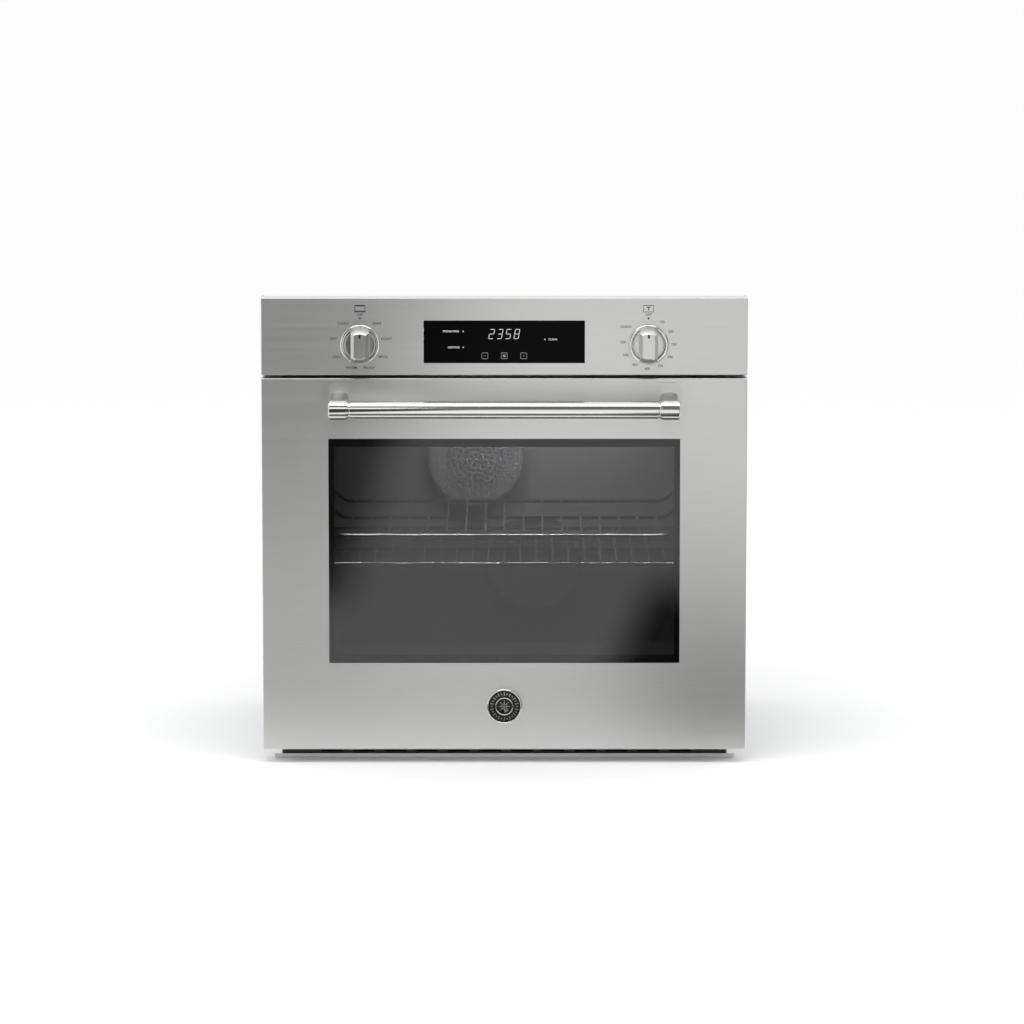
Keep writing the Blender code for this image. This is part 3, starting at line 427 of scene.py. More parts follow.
def even_normals(obj):
    """Keeps flat faces flat where they meet a rounded edge."""
    step = obj.modifiers.new("even_normals", "WEIGHTED_NORMAL")
    step.keep_sharp = True
    step.weight = 100


def eased_edges(obj, width, angle):
    """Rounds the edges that are sharper than an angle, and keeps the flats flat."""
    step = obj.modifiers.new("edges", "BEVEL")
    step.width = width
    step.segments = 3
    step.limit_method = "ANGLE"
    step.angle_limit = math.radians(angle)
    even_normals(obj)


def wire(name, paths, radius, mat):
    """Round wire along one or more paths, as one mesh."""
    curve = bpy.data.curves.new(name, "CURVE")
    curve.dimensions = "3D"
    curve.bevel_depth = radius
    curve.bevel_resolution = 5
    curve.use_fill_caps = True
    for path in paths:
        line = curve.splines.new("POLY")
        line.points.add(len(path) - 1)
        for point, where in zip(line.points, path):
            point.co = (*where, 1.0)
        line.use_smooth = True
    curve.materials.append(mat)
    return settle(linked(name, curve))


def rounded_path(points, radius, steps=6):
    """A path whose inner corners are replaced by arcs of about the given radius."""
    path = [Vector(points[0])]
    for before, corner, after in zip(points, points[1:], points[2:]):
        before, corner, after = Vector(before), Vector(corner), Vector(after)
        back, ahead = (before - corner), (after - corner)
        reach = min(radius, back.length * 0.49, ahead.length * 0.49)
        start, end = corner + back.normalized() * reach, corner + ahead.normalized() * reach
        for i in range(steps + 1):
            t = i / steps
            path.append((1 - t) ** 2 * start + 2 * t * (1 - t) * corner + t**2 * end)
    path.append(Vector(points[-1]))
    return [tuple(p) for p in path]


def flat_shape(name, loops, y, thickness, mat):
    """A thin plate across Y from outlines in (x, z). An outline inside another one is a hole."""
    curve = bpy.data.curves.new(name, "CURVE")
    curve.dimensions = "2D"
    curve.fill_mode = "BOTH"
    curve.extrude = thickness / 2
    for loop in loops:
        line = curve.splines.new("POLY")
        line.points.add(len(loop) - 1)
        for point, (u, v) in zip(line.points, loop):
            point.co = (u, v, 0, 1)
        line.use_cyclic_u = True
    return stood_up(name, curve, mat, (0, y, 0))


def stood_up(name, curve, mat, where):
    """A mesh from a flat curve, turned to face the front."""
    curve.materials.append(mat)
    obj = linked(name, curve)
    obj.location = where
    obj.rotation_euler = (math.radians(90), 0, 0)
    bpy.context.view_layer.update()
    return settle(obj)


def rectangle(u0, v0, u1, v1):
    return [(u0, v0), (u1, v0), (u1, v1), (u0, v1)]


def ring_points(centre, radius, count, start=0.0):
    """Places on a circle in (x, z)."""
    turns = (start + 2 * math.pi * i / count for i in range(count))
    return [(centre[0] + radius * math.cos(a), centre[1] + radius * math.sin(a)) for a in turns]


def cut(obj, *cutters):
    for cutter in cutters:
        step = obj.modifiers.new("cut", "BOOLEAN")
        step.object = cutter
        step.solver = "EXACT"


def discard(*objects):
    for obj in objects:
        bpy.data.objects.remove(obj)


# Repeats


def repeat_tree():
    """Geometry nodes that put one part on every point of a mesh and give the copies a finish."""
    tree = bpy.data.node_groups.new("repeat_on_points", "GeometryNodeTree")
    face = tree.interface
    face.new_socket("Points", in_out="INPUT", socket_type="NodeSocketGeometry")
    face.new_socket("Part", in_out="INPUT", socket_type="NodeSocketObject")
    face.new_socket("Finish", in_out="INPUT", socket_type="NodeSocketMaterial")
    face.new_socket("Copies", in_out="OUTPUT", socket_type="NodeSocketGeometry")
    entry = add_node(tree, "NodeGroupInput")
    part = add_node(tree, "GeometryNodeObjectInfo", links={"Object": entry.outputs["Part"]})
    spots = add_node(tree, "GeometryNodeMeshToPoints", links={"Mesh": entry.outputs["Points"]})
    copies = add_node(tree, "GeometryNodeInstanceOnPoints",
                      links={"Points": spots.outputs["Points"], "Instance": part.outputs["Geometry"]})
    real = add_node(tree, "GeometryNodeRealizeInstances", links={"Geometry": copies.outputs["Instances"]})
    dressed = add_node(tree, "GeometryNodeSetMaterial",
                       links={"Geometry": real.outputs["Geometry"], "Material": entry.outputs["Finish"]})
    add_node(tree, "NodeGroupOutput", links={"Copies": dressed.outputs["Geometry"]})
    return tree


REPEAT = repeat_tree()


def repeated(name, part, spots, mat):
    """Copies of a part, which is made about the origin, at a list of places."""
    mesh = bpy.data.meshes.new(name)
    mesh.from_pydata(spots, [], [])
    obj = linked(name, mesh)
    step = obj.modifiers.new("repeat", "NODES")
    step.node_group = REPEAT
    ids = {item.name: item.identifier for item in REPEAT.interface.items_tree if item.item_type == "SOCKET"}
    step[ids["Part"]] = part
    step[ids["Finish"]] = mat
    return settle(obj)


# Sheet fronts


THROUGH = 0.01


def folded_front(name, low, high, window, notches):
    """A steel sheet front with returns on four sides, rounded bends, a window and notches in its returns."""
    bm = cube_mesh(low, high)
    rear = [f for f in bm.faces if f.normal.y > 0.9]
    bmesh.ops.delete(bm, geom=rear, context="FACES")
    folds = [e for e in bm.edges if not e.is_boundary]
    bmesh.ops.bevel(bm, geom=folds, offset=BEND, segments=6, profile=0.5, affect="EDGES")
    obj = to_object(bm, name, STEEL, 60)
    shell = obj.modifiers.new("sheet", "SOLIDIFY")
    shell.thickness = SHEET
    shell.offset = -1
    shell.use_even_offset = True
    x0, z0, x1, z1 = window
    cutters = [plain_box(f"{name}_cut", (x0, low.y - THROUGH, z0), (x1, low.y + THROUGH, z1), STEEL)]
    cutters += [plain_box(f"{name}_notch", a, b, STEEL) for a, b in notches]
    cut(obj, *cutters)
    even_normals(obj)
    made = one_finish(settle(obj), STEEL)
    discard(*cutters)
    return made


def build_fronts():
    """The door's skin, with slots for the hinge arms, and the panel, whose top return is narrow."""
    hinge_x = middle("hinge_arm_right").x
    slot, slot_front, behind = 5 * MM, FACE_Y + 4.2 * MM, FACE_Y + 50 * MM
    arms = []
    for x in (-hinge_x, hinge_x):
        arms.append(((x - slot, slot_front, DOOR_LOW.z - THROUGH), (x + slot, behind, DOOR_LOW.z + THROUGH)))
    door = folded_front("door_face", DOOR_LOW, DOOR_HIGH, window_opening(), arms)
    place(door, "door", "brushed_steel", "door_skin")
    wall, top_return = 4 * MM, 28 * MM
    top = [((PANEL_LOW.x + wall, FACE_Y + top_return, PANEL_HIGH.z - THROUGH),
            (PANEL_HIGH.x - wall, behind, PANEL_HIGH.z + THROUGH))]
    panel = folded_front("panel_face", PANEL_LOW, PANEL_HIGH, display_opening(), top)
    place(panel, "root", "brushed_steel", "control_panel")


def display_opening():
    """The panel's hole for the display glass, with a small gap all round."""
    low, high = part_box("display_glass")
    gap = 0.3 * MM
    return (low.x - gap, low.z - gap, high.x + gap, high.z + gap)


def window_opening():
    """The door skin's window, inside the outer pane's edges by the overlap that holds it."""
    low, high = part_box("door_glass_outer")
    beside, above = 12.0 * MM, 11.2 * MM
    return (low.x + beside, low.z + above, high.x - beside, high.z - above)


# Handle


def build_handle():
    """The bar is a tube with a groove turned in at each end, where its cap begins."""
    low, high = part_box("handle_bar")
    axis = middle("handle_bar")
    radius = (high.z - low.z) / 2
    end, groove, deep = high.x, 1.6 * MM, 1.2 * MM
    profile = [(0.0, -end), (radius - deep, -end), (radius - deep, -end + groove),
               (radius - deep / 3, -end + groove + 0.1 * MM), (radius, -end + groove + 0.7 * MM)]
    profile += [(r, -x) for r, x in profile[::-1]]
    bar = along_x("handle_tube", profile, axis, BAR_STEEL)
    place(bar, "door", "polished_steel", "handle_bar")
    for side, sign in (("left", -1), ("right", 1)):
        build_bracket(side, sign, axis)


def along_x(name, profile, centre, mat):
    """A turned shape about an axis along X: profile points are (radius, x)."""
    obj = spun(name, profile, (0, 0, 0), mat, smooth_angle=30)
    obj.data.transform(Matrix.Rotation(math.radians(-90), 4, "Z"))
    obj.data.transform(Matrix.Translation(centre))
    return obj


def build_bracket(side, sign, axis):
    """One end of the handle: end cap, curved arm and foot plate, which are one casting."""
    node = f"handle_bracket_{side}"
    low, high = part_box(node)
    inner, outer = sorted((abs(low.x), abs(high.x)))
    cap_r = axis.y - low.y
    cap_in, cap_out = abs(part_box("handle_bar")[1].x) + 0.3 * MM, 272.7 * MM
    lip, neck = 1.4 * MM, cap_r - 0.9 * MM
    profile = [(0.0, cap_in), (cap_r - 1.6 * MM, cap_in), (neck, cap_in + 0.7 * MM),
               (neck, cap_in + 2.4 * MM), (cap_r, cap_in + 3.2 * MM), (cap_r, cap_out - lip),
               (cap_r - 0.4 * lip, cap_out - 0.4 * lip), (cap_r - lip, cap_out), (0.0, cap_out)]
    cap = along_x(f"handle_cap_{side}", [(r, sign * x) for r, x in profile], axis, BAR_STEEL)
    place(cap, "door", "polished_steel", node)
    foot = foot_plate(f"handle_foot_{side}", sign, inner + 1.5 * MM, outer, low.z, high.z)
    place(foot, "door", "brushed_steel", node)
    arm = lofted_arm(f"handle_arm_{side}", sign * (cap_in + cap_out) / 2, axis)
    place(arm, "door", "polished_steel", node)


def foot_plate(name, sign, near, far, bottom, top):
    """The brushed plate under an arm: its outer upper corner slants, and its edges are eased."""
    thick, slant_x, slant_z, clear = 2.4 * MM, 12 * MM, 9 * MM, 0.3 * MM
    corners = [(near, bottom), (far, bottom), (far, top - slant_z), (far - slant_x, top + slant_z),
               (near, top + slant_z)]
    outline = [(sign * x, z) for x, z in corners]
    plate = flat_shape(name, [outline], FACE_Y - clear - thick / 2, thick, STEEL)
    eased_edges(plate, 0.7 * MM, 30)
    return settle(plate)


def lofted_arm(name, x, axis):
    """The arm between foot and cap: rounded sections that swell towards the door."""
    bm = bmesh.new()
    steps, sides, squareness = 14, 40, 0.55
    start, end = axis.y + 2 * MM, FACE_Y - 2.5 * MM
    rings = []
    for i in range(steps + 1):
        t = i / steps
        swell = t**2.2
        half_x, half_z = (11.6 + 3.2 * swell) * MM, (11.8 + 8.6 * swell) * MM
        ring = []
        for c, s in ring_points((0, 0), 1, sides):
            u = math.copysign(abs(c) ** squareness, c) * half_x
            v = math.copysign(abs(s) ** squareness, s) * half_z
            ring.append(bm.verts.new((x + u, start + (end - start) * t, axis.z + v)))
        rings.append(ring)
    for near, far in zip(rings, rings[1:]):
        wall_between(bm, near, far)
    bm.faces.new(rings[0])
    bm.faces.new(rings[-1])
    return to_object(bm, name, SATIN_CAST, 50)


def wall_between(bm, near, far):
    """Joins two closed rows of corners with one face for each side."""
    count = len(near)
    for k in range(count):
        after = (k + 1) % count
        bm.faces.new((near[k], near[after], far[after], far[k]))


# Knobs


def rim_profile(outer, points):
    """Turned points from (how far inside the outer radius, how far in front of the face), in millimetres."""
    return [(outer - inside * MM, -proud * MM) for inside, proud in points]


def build_knob(node, bezel_node):
    """One control: a fixed bright ring, and a skirt, grip and tick that turn."""
    low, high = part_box(bezel_node)
    centre = middle(bezel_node)
    where = (centre.x, FACE_Y, centre.z)
    profile = rim_profile((high.x - low.x) / 2, [
        (5.8, 0.3), (5.8, 4.4), (5.2, 5.1), (3.2, 5.4), (1.4, 5.1),
        (0.4, 4.0), (0.0, 2.0), (0.0, 0.3), (5.8, 0.3)])
    ring = spun(f"{node}_ring", profile, where, PLATED, 128, 60)
    place(ring, "root", "polished_steel", bezel_node)
    knob_low, knob_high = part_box(node)
    rim = rim_profile((knob_high.x - knob_low.x) / 2, [
        (2.6, 5.4), (2.2, 6.3), (1.2, 6.5), (0.2, 5.8), (0.0, 4.6), (0.0, 1.5)])
    profile = [(0.0, rim[0][1]), *rim, (0.0, rim[-1][1])]
    skirt = spun(f"{node}_skirt", profile, where, SATIN_CAST, smooth_angle=50)
    place(skirt, node, "polished_steel", node)
    grip = knob_grip(f"{node}_grip", centre)
    place(grip, node, "polished_steel", node)
    half, foot, tip, proud, sunk = 1.5 * MM, 12.8 * MM, 18.4 * MM, 0.02 * MM, 0.4 * MM
    tick = plain_box(f"{node}_tick", (centre.x - half, knob_low.y - proud, centre.z + foot),
                     (centre.x + half, knob_low.y + sunk, centre.z + tip), BLACK_AND_SHADE)
    place(tick, node, "black_plastic")


def knob_grip(name, centre):
    """The bar across the knob: a turned body whose ends lean in, sliced to a bar with chamfered edges."""
    turned = [(0.0, -6.0), (30.0, -6.0), (29.7, -8.5), (25.2, -24.0),
              (19.8, -29.7), (19.2, -30.0), (0.0, -30.0)]
    profile = [(r * MM, y * MM) for r, y in turned]
    bar = spun(name, profile, (centre.x, FACE_Y, centre.z), SATIN_KNOB, smooth_angle=30)
    half, face, front, shoulder, rear = 14.05 * MM, 9.2 * MM, 30.0 * MM, 24.6 * MM, 5.0 * MM
    outline = [(-half, -rear), (-half, -shoulder), (-face, -front),
               (face, -front), (half, -shoulder), (half, -rear)]
    bm = bmesh.new()
    ends = []
    for z in (centre.z - 0.04, centre.z + 0.04):
        ends.append([bm.verts.new((centre.x + x, FACE_Y + y, z)) for x, y in outline])
    wall_between(bm, *ends)
    bm.faces.new(ends[0])
    bm.faces.new(ends[1])
    slab = to_object(bm, f"{name}_slab", SATIN_KNOB)
    step = bar.modifiers.new("slice", "BOOLEAN")
    step.operation = "INTERSECT"
    step.object = slab
    step.solver = "EXACT"
    eased_edges(bar, 0.45 * MM, 28)
    made = one_finish(settle(bar), SATIN_KNOB)
    discard(slab)
    return made


# Display


SEGMENTS = {"0": "abcdef", "1": "bc", "2": "abged", "3": "abgcd", "4": "fgbc", "5": "afgcd", "6": "afgedc",
            "7": "abc", "8": "abcdefg", "9": "abfgcd"}


def segment_outlines(digit, x, z, wide, tall, thick):
    """The lit bars of one slanted seven-segment digit, as outlines in (x, z)."""
    gap, half, point = thick * 0.28, tall / 2, thick / 2
    lean = 0.18
    lying = {"a": tall, "g": half, "d": 0.0}
    upright = {"f": (0, half), "b": (wide, half), "e": (0, 0), "c": (wide, 0)}
    loops = []
    for lit in SEGMENTS[digit]:
        if lit in lying:
            loop = [(along, lying[lit] + off) for along, off in pointed_bar(gap, wide - gap, point)]
        else:
            side, base = upright[lit]
            loop = [(side + off, base + along) for along, off in pointed_bar(gap, half - gap, point)]
        loops.append([(x + u + lean * v, z + v) for u, v in loop])
    return loops


def pointed_bar(start, end, point):
    """The outline of a bar with pointed ends, as (along, off its middle line)."""
    return [(start, 0.0), (start + point, point), (end - point, point),
            (end, 0.0), (end - point, -point), (start + point, -point)]


def build_display():
    """The clock, the status words with their lamps, and three touch marks, just in front of the glass."""
    low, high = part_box("display_glass")
    centre = (low + high) / 2
    y = low.y - 0.06 * MM
    clock_left, clock_up, pitch = -24.4 * MM, 5.0 * MM, 13.1 * MM
    tall, wide, thick = 14.6 * MM, 6.9 * MM, 0.8 * MM
    loops = []
    for i, digit in enumerate("2358"):
        left = centre.x + clock_left + pitch * i
        loops += segment_outlines(digit, left, centre.z + clock_up, wide, tall, thick)
    place(flat_shape("clock_digits", loops, y, PRINT_THICK, DIODES), "root", "tinted_glass")
    letter, lamp = 4.3 * MM, 0.9 * MM
    legends = []
    for words, word_x, lamp_x, z in (("PREHEATING", -83.0, -64.0, 16.4), ("HEATING", -78.6, -64.0, -8.8),
                                     ("CLEAN", 75.7, 63.4, 3.8)):
        level = centre.z + z * MM
        legends.append(text_mesh("legend", words, centre.x + word_x * MM, level, letter, LEGENDS, low.y))
        dot = ring_points((centre.x + lamp_x * MM, level), lamp, 16)
        legends.append(flat_shape("lamp_dot", [dot], y, PRINT_THICK, LEGENDS))
    place(joined("status_legends", legends), "root", "tinted_glass")
    touch = touch_outlines(centre.x, centre.z - 21.9 * MM, 30.3 * MM)
    place(flat_shape("touch_marks", touch, y, PRINT_THICK, DIM_MARKS), "root", "tinted_glass")


def touch_outlines(x, z, pitch):
    """Three framed marks in a row: a lying bar, a five-sided ring and an upright bar."""
    half, line = 5.0 * MM, 0.6 * MM
    bar, ring = 1.5 * MM, (2.6 * MM, 1.1 * MM)
    loops = []
    for centre_x in (x - pitch, x, x + pitch):
        loops += [soft_square(centre_x, z, half, 1.6 * MM), soft_square(centre_x, z, half - line, 1.2 * MM)]
    loops.append(rectangle(x - pitch - bar, z - line / 2, x - pitch + bar, z + line / 2))
    loops.append(rectangle(x + pitch - line / 2, z - 1.8 * MM, x + pitch + line / 2, z + 1.8 * MM))
    loops += [ring_points((x, z), radius, 5) for radius in ring]
    return loops


def soft_square(x, z, half, radius):
    """A square outline with rounded corners."""
    reach, steps = half - radius, 4
    loop = []
    for k, (sx, sz) in enumerate(((1, 1), (-1, 1), (-1, -1), (1, -1))):
        for i in range(steps + 1):
            a = math.radians(90 * (k + i / steps))
            loop.append((x + sx * reach + radius * math.cos(a), z + sz * reach + radius * math.sin(a)))
    return loop


# Print on the panel


def text_mesh(name, words, x, z, size, mat, surface, bold=0.0):
    """Upright print that reads from the front, centred on (x, z)."""
    curve = bpy.data.curves.new(name, "FONT")
    curve.body = words
    curve.size = size
    curve.align_x = "CENTER"
    curve.align_y = "CENTER"
    curve.extrude = 0.03 * MM
    curve.offset = bold
    return stood_up(name, curve, mat, (x, surface - 0.05 * MM, z))


def joined(name, pieces):
    """One mesh from several, which all have one finish."""
    mesh = bpy.data.meshes.new(name)
    mesh.materials.append(pieces[0].data.materials[0])
    bm = bmesh.new()
    for piece in pieces:
        bm.from_mesh(piece.data)
    bm.to_mesh(mesh)
    bm.free()
    discard(*pieces)
    return linked(name, mesh)


def on_dial(centre, degrees, reach):
    """A place in (x, z) round a dial, by degrees from the top, clockwise. Print sits a little high on it."""
    turn, high = math.radians(degrees), 1.4 * MM
    return centre.x + reach * math.sin(turn), centre.z + high + reach * math.cos(turn)


def build_print():
    """Temperatures round one dial, plain cooking words round the other, and a mark over each."""
    left, right = middle("knob_bezel_left"), middle("knob_bezel_right")
    reach, size, bold = 39.6 * MM, 5.6 * MM, 0.05 * MM
    words = []
    for i, value in enumerate((170, 200, 250, 300, 350, 400, 450, 500, 550)):
        words.append((str(value), *on_dial(right, 31.5 + 30.2 * i, reach)))
    words.append(("CLEAN", *on_dial(right, 307, 44 * MM)))
    for i, word in enumerate(("BAKE", "ROAST", "BROIL", "PROOF", "WARM", "GRILL", "DRY", "CLEAN"), 1):
        degrees = 40 * i
        wider = 2.6 * MM * abs(math.sin(math.radians(degrees)))
        words.append((word, *on_dial(left, degrees, reach + wider)))
    words += [("OFF", dial.x, dial.z + 46.6 * MM) for dial in (left, right)]
    print_pieces = [text_mesh("word", word, x, z, size, INK, FACE_Y, bold) for word, x, z in words]
    place(joined("dial_words", print_pieces), "root", "black_plastic")
    symbols = dial_mark(left, 2.0 * MM) + dial_mark(right, 0.9 * MM)
    stem, bar, foot, shoulder, top = 0.7 * MM, 3.4 * MM, 53.2 * MM, 58.0 * MM, 59.4 * MM
    symbols.append(rectangle(right.x - stem, right.z + foot, right.x + stem, right.z + shoulder))
    symbols.append(rectangle(right.x - bar, right.z + shoulder, right.x + bar, right.z + top))
    place(flat_shape("dial_symbols", symbols, FACE_Y - 0.05 * MM, 0.06 * MM, INK), "root", "black_plastic")


def dial_mark(dial, heavy):
    """The frame over a dial, whose upper and lower lines are heavy, and the pointer under its word."""
    level, wide, tall, line = dial.z + 56.2 * MM, 8.3 * MM, 5.6 * MM, 0.8 * MM
    half, base, tip = 2.2 * MM, dial.z + 42.4 * MM, dial.z + 38.8 * MM
    return [rectangle(dial.x - wide, level - tall, dial.x + wide, level + tall),
            rectangle(dial.x - wide + line, level - tall + heavy, dial.x + wide - line, level + tall - heavy),
            [(dial.x - half, base), (dial.x, tip), (dial.x + half, base)]]


# Badge


def build_badge():
    """A plain round medallion: a bright rim, a black disc, an inner ring and a rosette in relief."""
    low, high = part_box("badge")
    c = middle("badge")
    outer = (high.x - low.x) / 2
    where = (c.x, FACE_Y, c.z)
    rim = rim_profile(outer, [
        (3.2, 0.3), (3.2, 4.2), (2.7, 5.1), (1.8, 5.5), (0.9, 5.0),
        (0.2, 3.6), (0.0, 2.0), (0.0, 0.3), (3.2, 0.3)])
    place(spun("badge_rim", rim, where, PLATED, 128, 60), "door", "polished_steel", "badge")
    disc = [(0.0, -3.6 * MM), *rim_profile(outer, [(3.3, 3.3), (3.3, 0.4)]), (0.0, -0.4 * MM)]
    place(spun("badge_disc", disc, where, BLACK_ENAMEL), "door", "polished_steel", "badge")
    inner = rim_profile(14.2 * MM, [(1.8, 3.4), (1.6, 4.3), (0.9, 4.5), (0.2, 4.3), (0.0, 3.4), (1.8, 3.4)])
    place(spun("badge_inner_ring", inner, where, PLATED, smooth_angle=60), "door", "polished_steel", "badge")
    ticks, petals, hub = 28, 8, 1.9 * MM
    outlines = []
    for i in range(ticks):
        near, far = (17.2 * MM, 22.6 * MM) if i % 2 else (18.4 * MM, 21.4 * MM)
        outlines.append(spoke(c, 2 * math.pi * i / ticks, near, far, 0.9 * MM, 0.9 * MM))
    for i in range(petals):
        outlines.append(spoke(c, 2 * math.pi * i / petals, 2.6 * MM, 9.8 * MM, 1.5 * MM, 0.3 * MM))
    outlines.append(ring_points((c.x, c.z), hub, 24))
    relief = flat_shape("badge_rosette", outlines, FACE_Y - 3.8 * MM, 0.9 * MM, PLATED)
    place(relief, "door", "polished_steel", "badge")


def spoke(centre, angle, near, far, near_w, far_w):
    """A bar that points away from a centre, as an outline in (x, z)."""
    along = Vector((math.cos(angle), math.sin(angle)))
    side = Vector((-along.y, along.x))
    base = Vector((centre.x, centre.z))
    corners = (base + along * near - side * near_w, base + along * far - side * far_w,
               base + along * far + side * far_w, base + along * near + side * near_w)
    return [tuple(p) for p in corners]


# Racks and guides


RACK_WIRE = 3.2 * MM


def build_rack(node, body, count, pitch, level_z, rail_z, bars):
    """Thick cross wires at the given depths between two rails, and thin lengthwise wires that lie on them."""
    low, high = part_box(node)
    rail_x = high.x - RACK_WIRE
    run = 28 * MM
    cross = []
    for y in bars:
        if rail_z > level_z:
            points = [(-rail_x, y, rail_z), (-rail_x + run, y, level_z),
                      (rail_x - run, y, level_z), (rail_x, y, rail_z)]
            cross.append(rounded_path(points, 10 * MM))
        else:
            cross.append([(-rail_x, y, level_z), (rail_x, y, level_z)])
    rails = [[(s * rail_x, low.y, rail_z), (s * rail_x, high.y, rail_z)] for s in (-1, 1)]
    frame_wires = wire(f"{node}_frame", cross + rails, RACK_WIRE, CHROME)
    place(frame_wires, body, "chrome_wire", node)
    half = pitch * (count - 1) / 2
    past_bars, lift = 4 * MM, 4.3 * MM
    length = bars[-1] - bars[0] + past_bars
    tip = [(0.0, 0.0), (1.3 * MM, 0.35 * MM), (2.0 * MM, 1.2 * MM), (2.2 * MM, 2.4 * MM)]
    rod = [(r, y - length / 2) for r, y in tip] + [(r, length / 2 - y) for r, y in tip[::-1]]
    lengthwise = spun(f"{node}_lengthwise", rod, (0, 0, 0), CHROME, 12, 60)
    spots = [(-half + pitch * i, (bars[0] + bars[-1]) / 2, level_z + lift) for i in range(count)]
    grid = repeated(f"{node}_grid", lengthwise, spots, CHROME)
    discard(lengthwise)
    place(grid, body, "chrome_wire", node)


def build_racks():
    """The upper rack hangs below its rails. The lower one is flat."""
    end_in, drop = 6 * MM, 25 * MM
    low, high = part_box("oven_rack_upper")
    front, rear = low.y + end_in, high.y - end_in
    rail_z = high.z - RACK_WIRE
    build_rack("oven_rack_upper", "rack_upper", 17, 30.4 * MM, rail_z - drop, rail_z,
               [front, front + 192 * MM, rear])
    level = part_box("oven_rack_lower")[0].z + RACK_WIRE
    build_rack("oven_rack_lower", "rack_lower", 21, 25.4 * MM, level, level,
               [front, front + 146 * MM, front + 260 * MM, rear])


def smooth_copy(node, slot, mat):
    """A welded, smooth-shaded copy of a fixed CAD piece whose shape is already right."""
    mesh = NODES[node].data.copy()
    bm = bmesh.new()
    bm.from_mesh(mesh)
    bmesh.ops.remove_doubles(bm, verts=bm.verts, dist=WELD)
    bmesh.ops.dissolve_limit(bm, angle_limit=math.radians(1), verts=bm.verts, edges=bm.edges)
    bm.to_mesh(mesh)
    bm.free()
    mesh.shade_smooth()
    mesh.set_sharp_from_angle(angle=math.radians(40))
    place(one_finish(linked(f"{node}_piece", mesh), mat), "root", slot, node)


def build_round_parts():
    """Fixed pieces of bent rod, braid and turned or pressed metal."""
    for mat, slot, nodes in (
        (SHEATH, "element_sheath", ("broil_element", "bake_element", "ring_element_upper",
                                    "ring_element_lower")),
        (CHROME, "chrome_wire", ("rack_guide_left", "rack_guide_right", "temperature_probe")),
        (BRAID, "glass_braid", ("door_gasket",)),
        (BLACK_AND_SHADE, "black_plastic", ("cable_gland",)),
        (ZINC_SHEET, "galvanised_sheet", ("fan_motor_upper", "fan_motor_lower", "oven_lamp")),
    ):
        for node in nodes:
            smooth_copy(node, slot, mat)


# Fan covers


def build_fan_cover(level):
    """A shallow enamelled pan over a fan, with rings of black discs on its face, painted shade where its
    holes would show the dark behind.
    """
    node = f"fan_cover_{level}"
    low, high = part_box(node)
    c = middle(node)
    r = (high.x - low.x) / 2
    deep = high.y - low.y
    outside = [(r - 9 * MM, 0.0), (r - 6 * MM, 0.5 * MM), (r - 3 * MM, 2.0 * MM), (r - 1 * MM, 4.4 * MM),
               (r, 7.5 * MM), (r, deep)]
    inside = [(r - SHEET, deep), (r - SHEET, 7.8 * MM), (r - 4 * MM, 3.2 * MM), (r - 9 * MM, SHEET)]
    profile = [(0.0, 0.0), *outside, *inside, (0.0, SHEET)]
    cover = spun(f"{node}_pressing", profile, (c.x, low.y, c.z), ENAMEL, smooth_angle=50)
    place(cover, "root", "dark_enamel", node)
    hole_r, hole_pitch, proud = 2.6 * MM, 9.0 * MM, 0.05 * MM
    # Each hole is a thin black disc just proud of the face: painted shade, no hole is cut.
    bm = bmesh.new()
    bmesh.ops.create_cone(bm, cap_ends=True, segments=14, radius1=hole_r, radius2=hole_r, depth=0.3 * MM)
    bmesh.ops.rotate(bm, cent=(0, 0, 0), matrix=Matrix.Rotation(math.radians(90), 3, "X"), verts=bm.verts)
    hole = to_object(bm, "hole", BLACK_AND_SHADE)
    spots = []
    for ring in range(1, 6):
        for x, z in ring_points((c.x, c.z), ring * hole_pitch, 6 * ring, ring * 0.4):
            spots.append((x, low.y - proud, z))
    holes = repeated(f"{node}_perforations", hole, spots, BLACK_AND_SHADE)
    discard(hole)
    place(holes, "root", "dark_enamel", node)


# Screws


def screw_part(turn):
    """A pan head on its washer face, made about the origin with its head towards -Y, then turned. Its cross
    recess is two black bars on the head, painted shade for the recess.
    """
    profile = [(0.0, -2.2), (1.6, -2.1), (2.8, -1.7), (3.5, -0.9), (3.7, 0.0), (0.0, 0.0)]
    head = spun("screw_head", [(r * MM, y * MM) for r, y in profile], (0, 0, 0), HINGE, 20, 40)
    proud, deep = -2.32 * MM, -2.0 * MM
    bars = []
    for half_x, half_z in ((1.9 * MM, 0.35 * MM), (0.35 * MM, 1.9 * MM)):
        bars.append(plain_box("recess", (-half_x, proud, -half_z), (half_x, deep, half_z), BLACK_AND_SHADE))
    recess = joined("screw_recess", bars)
    for obj in (head, recess):
        obj.data.transform(turn)
    return head, recess


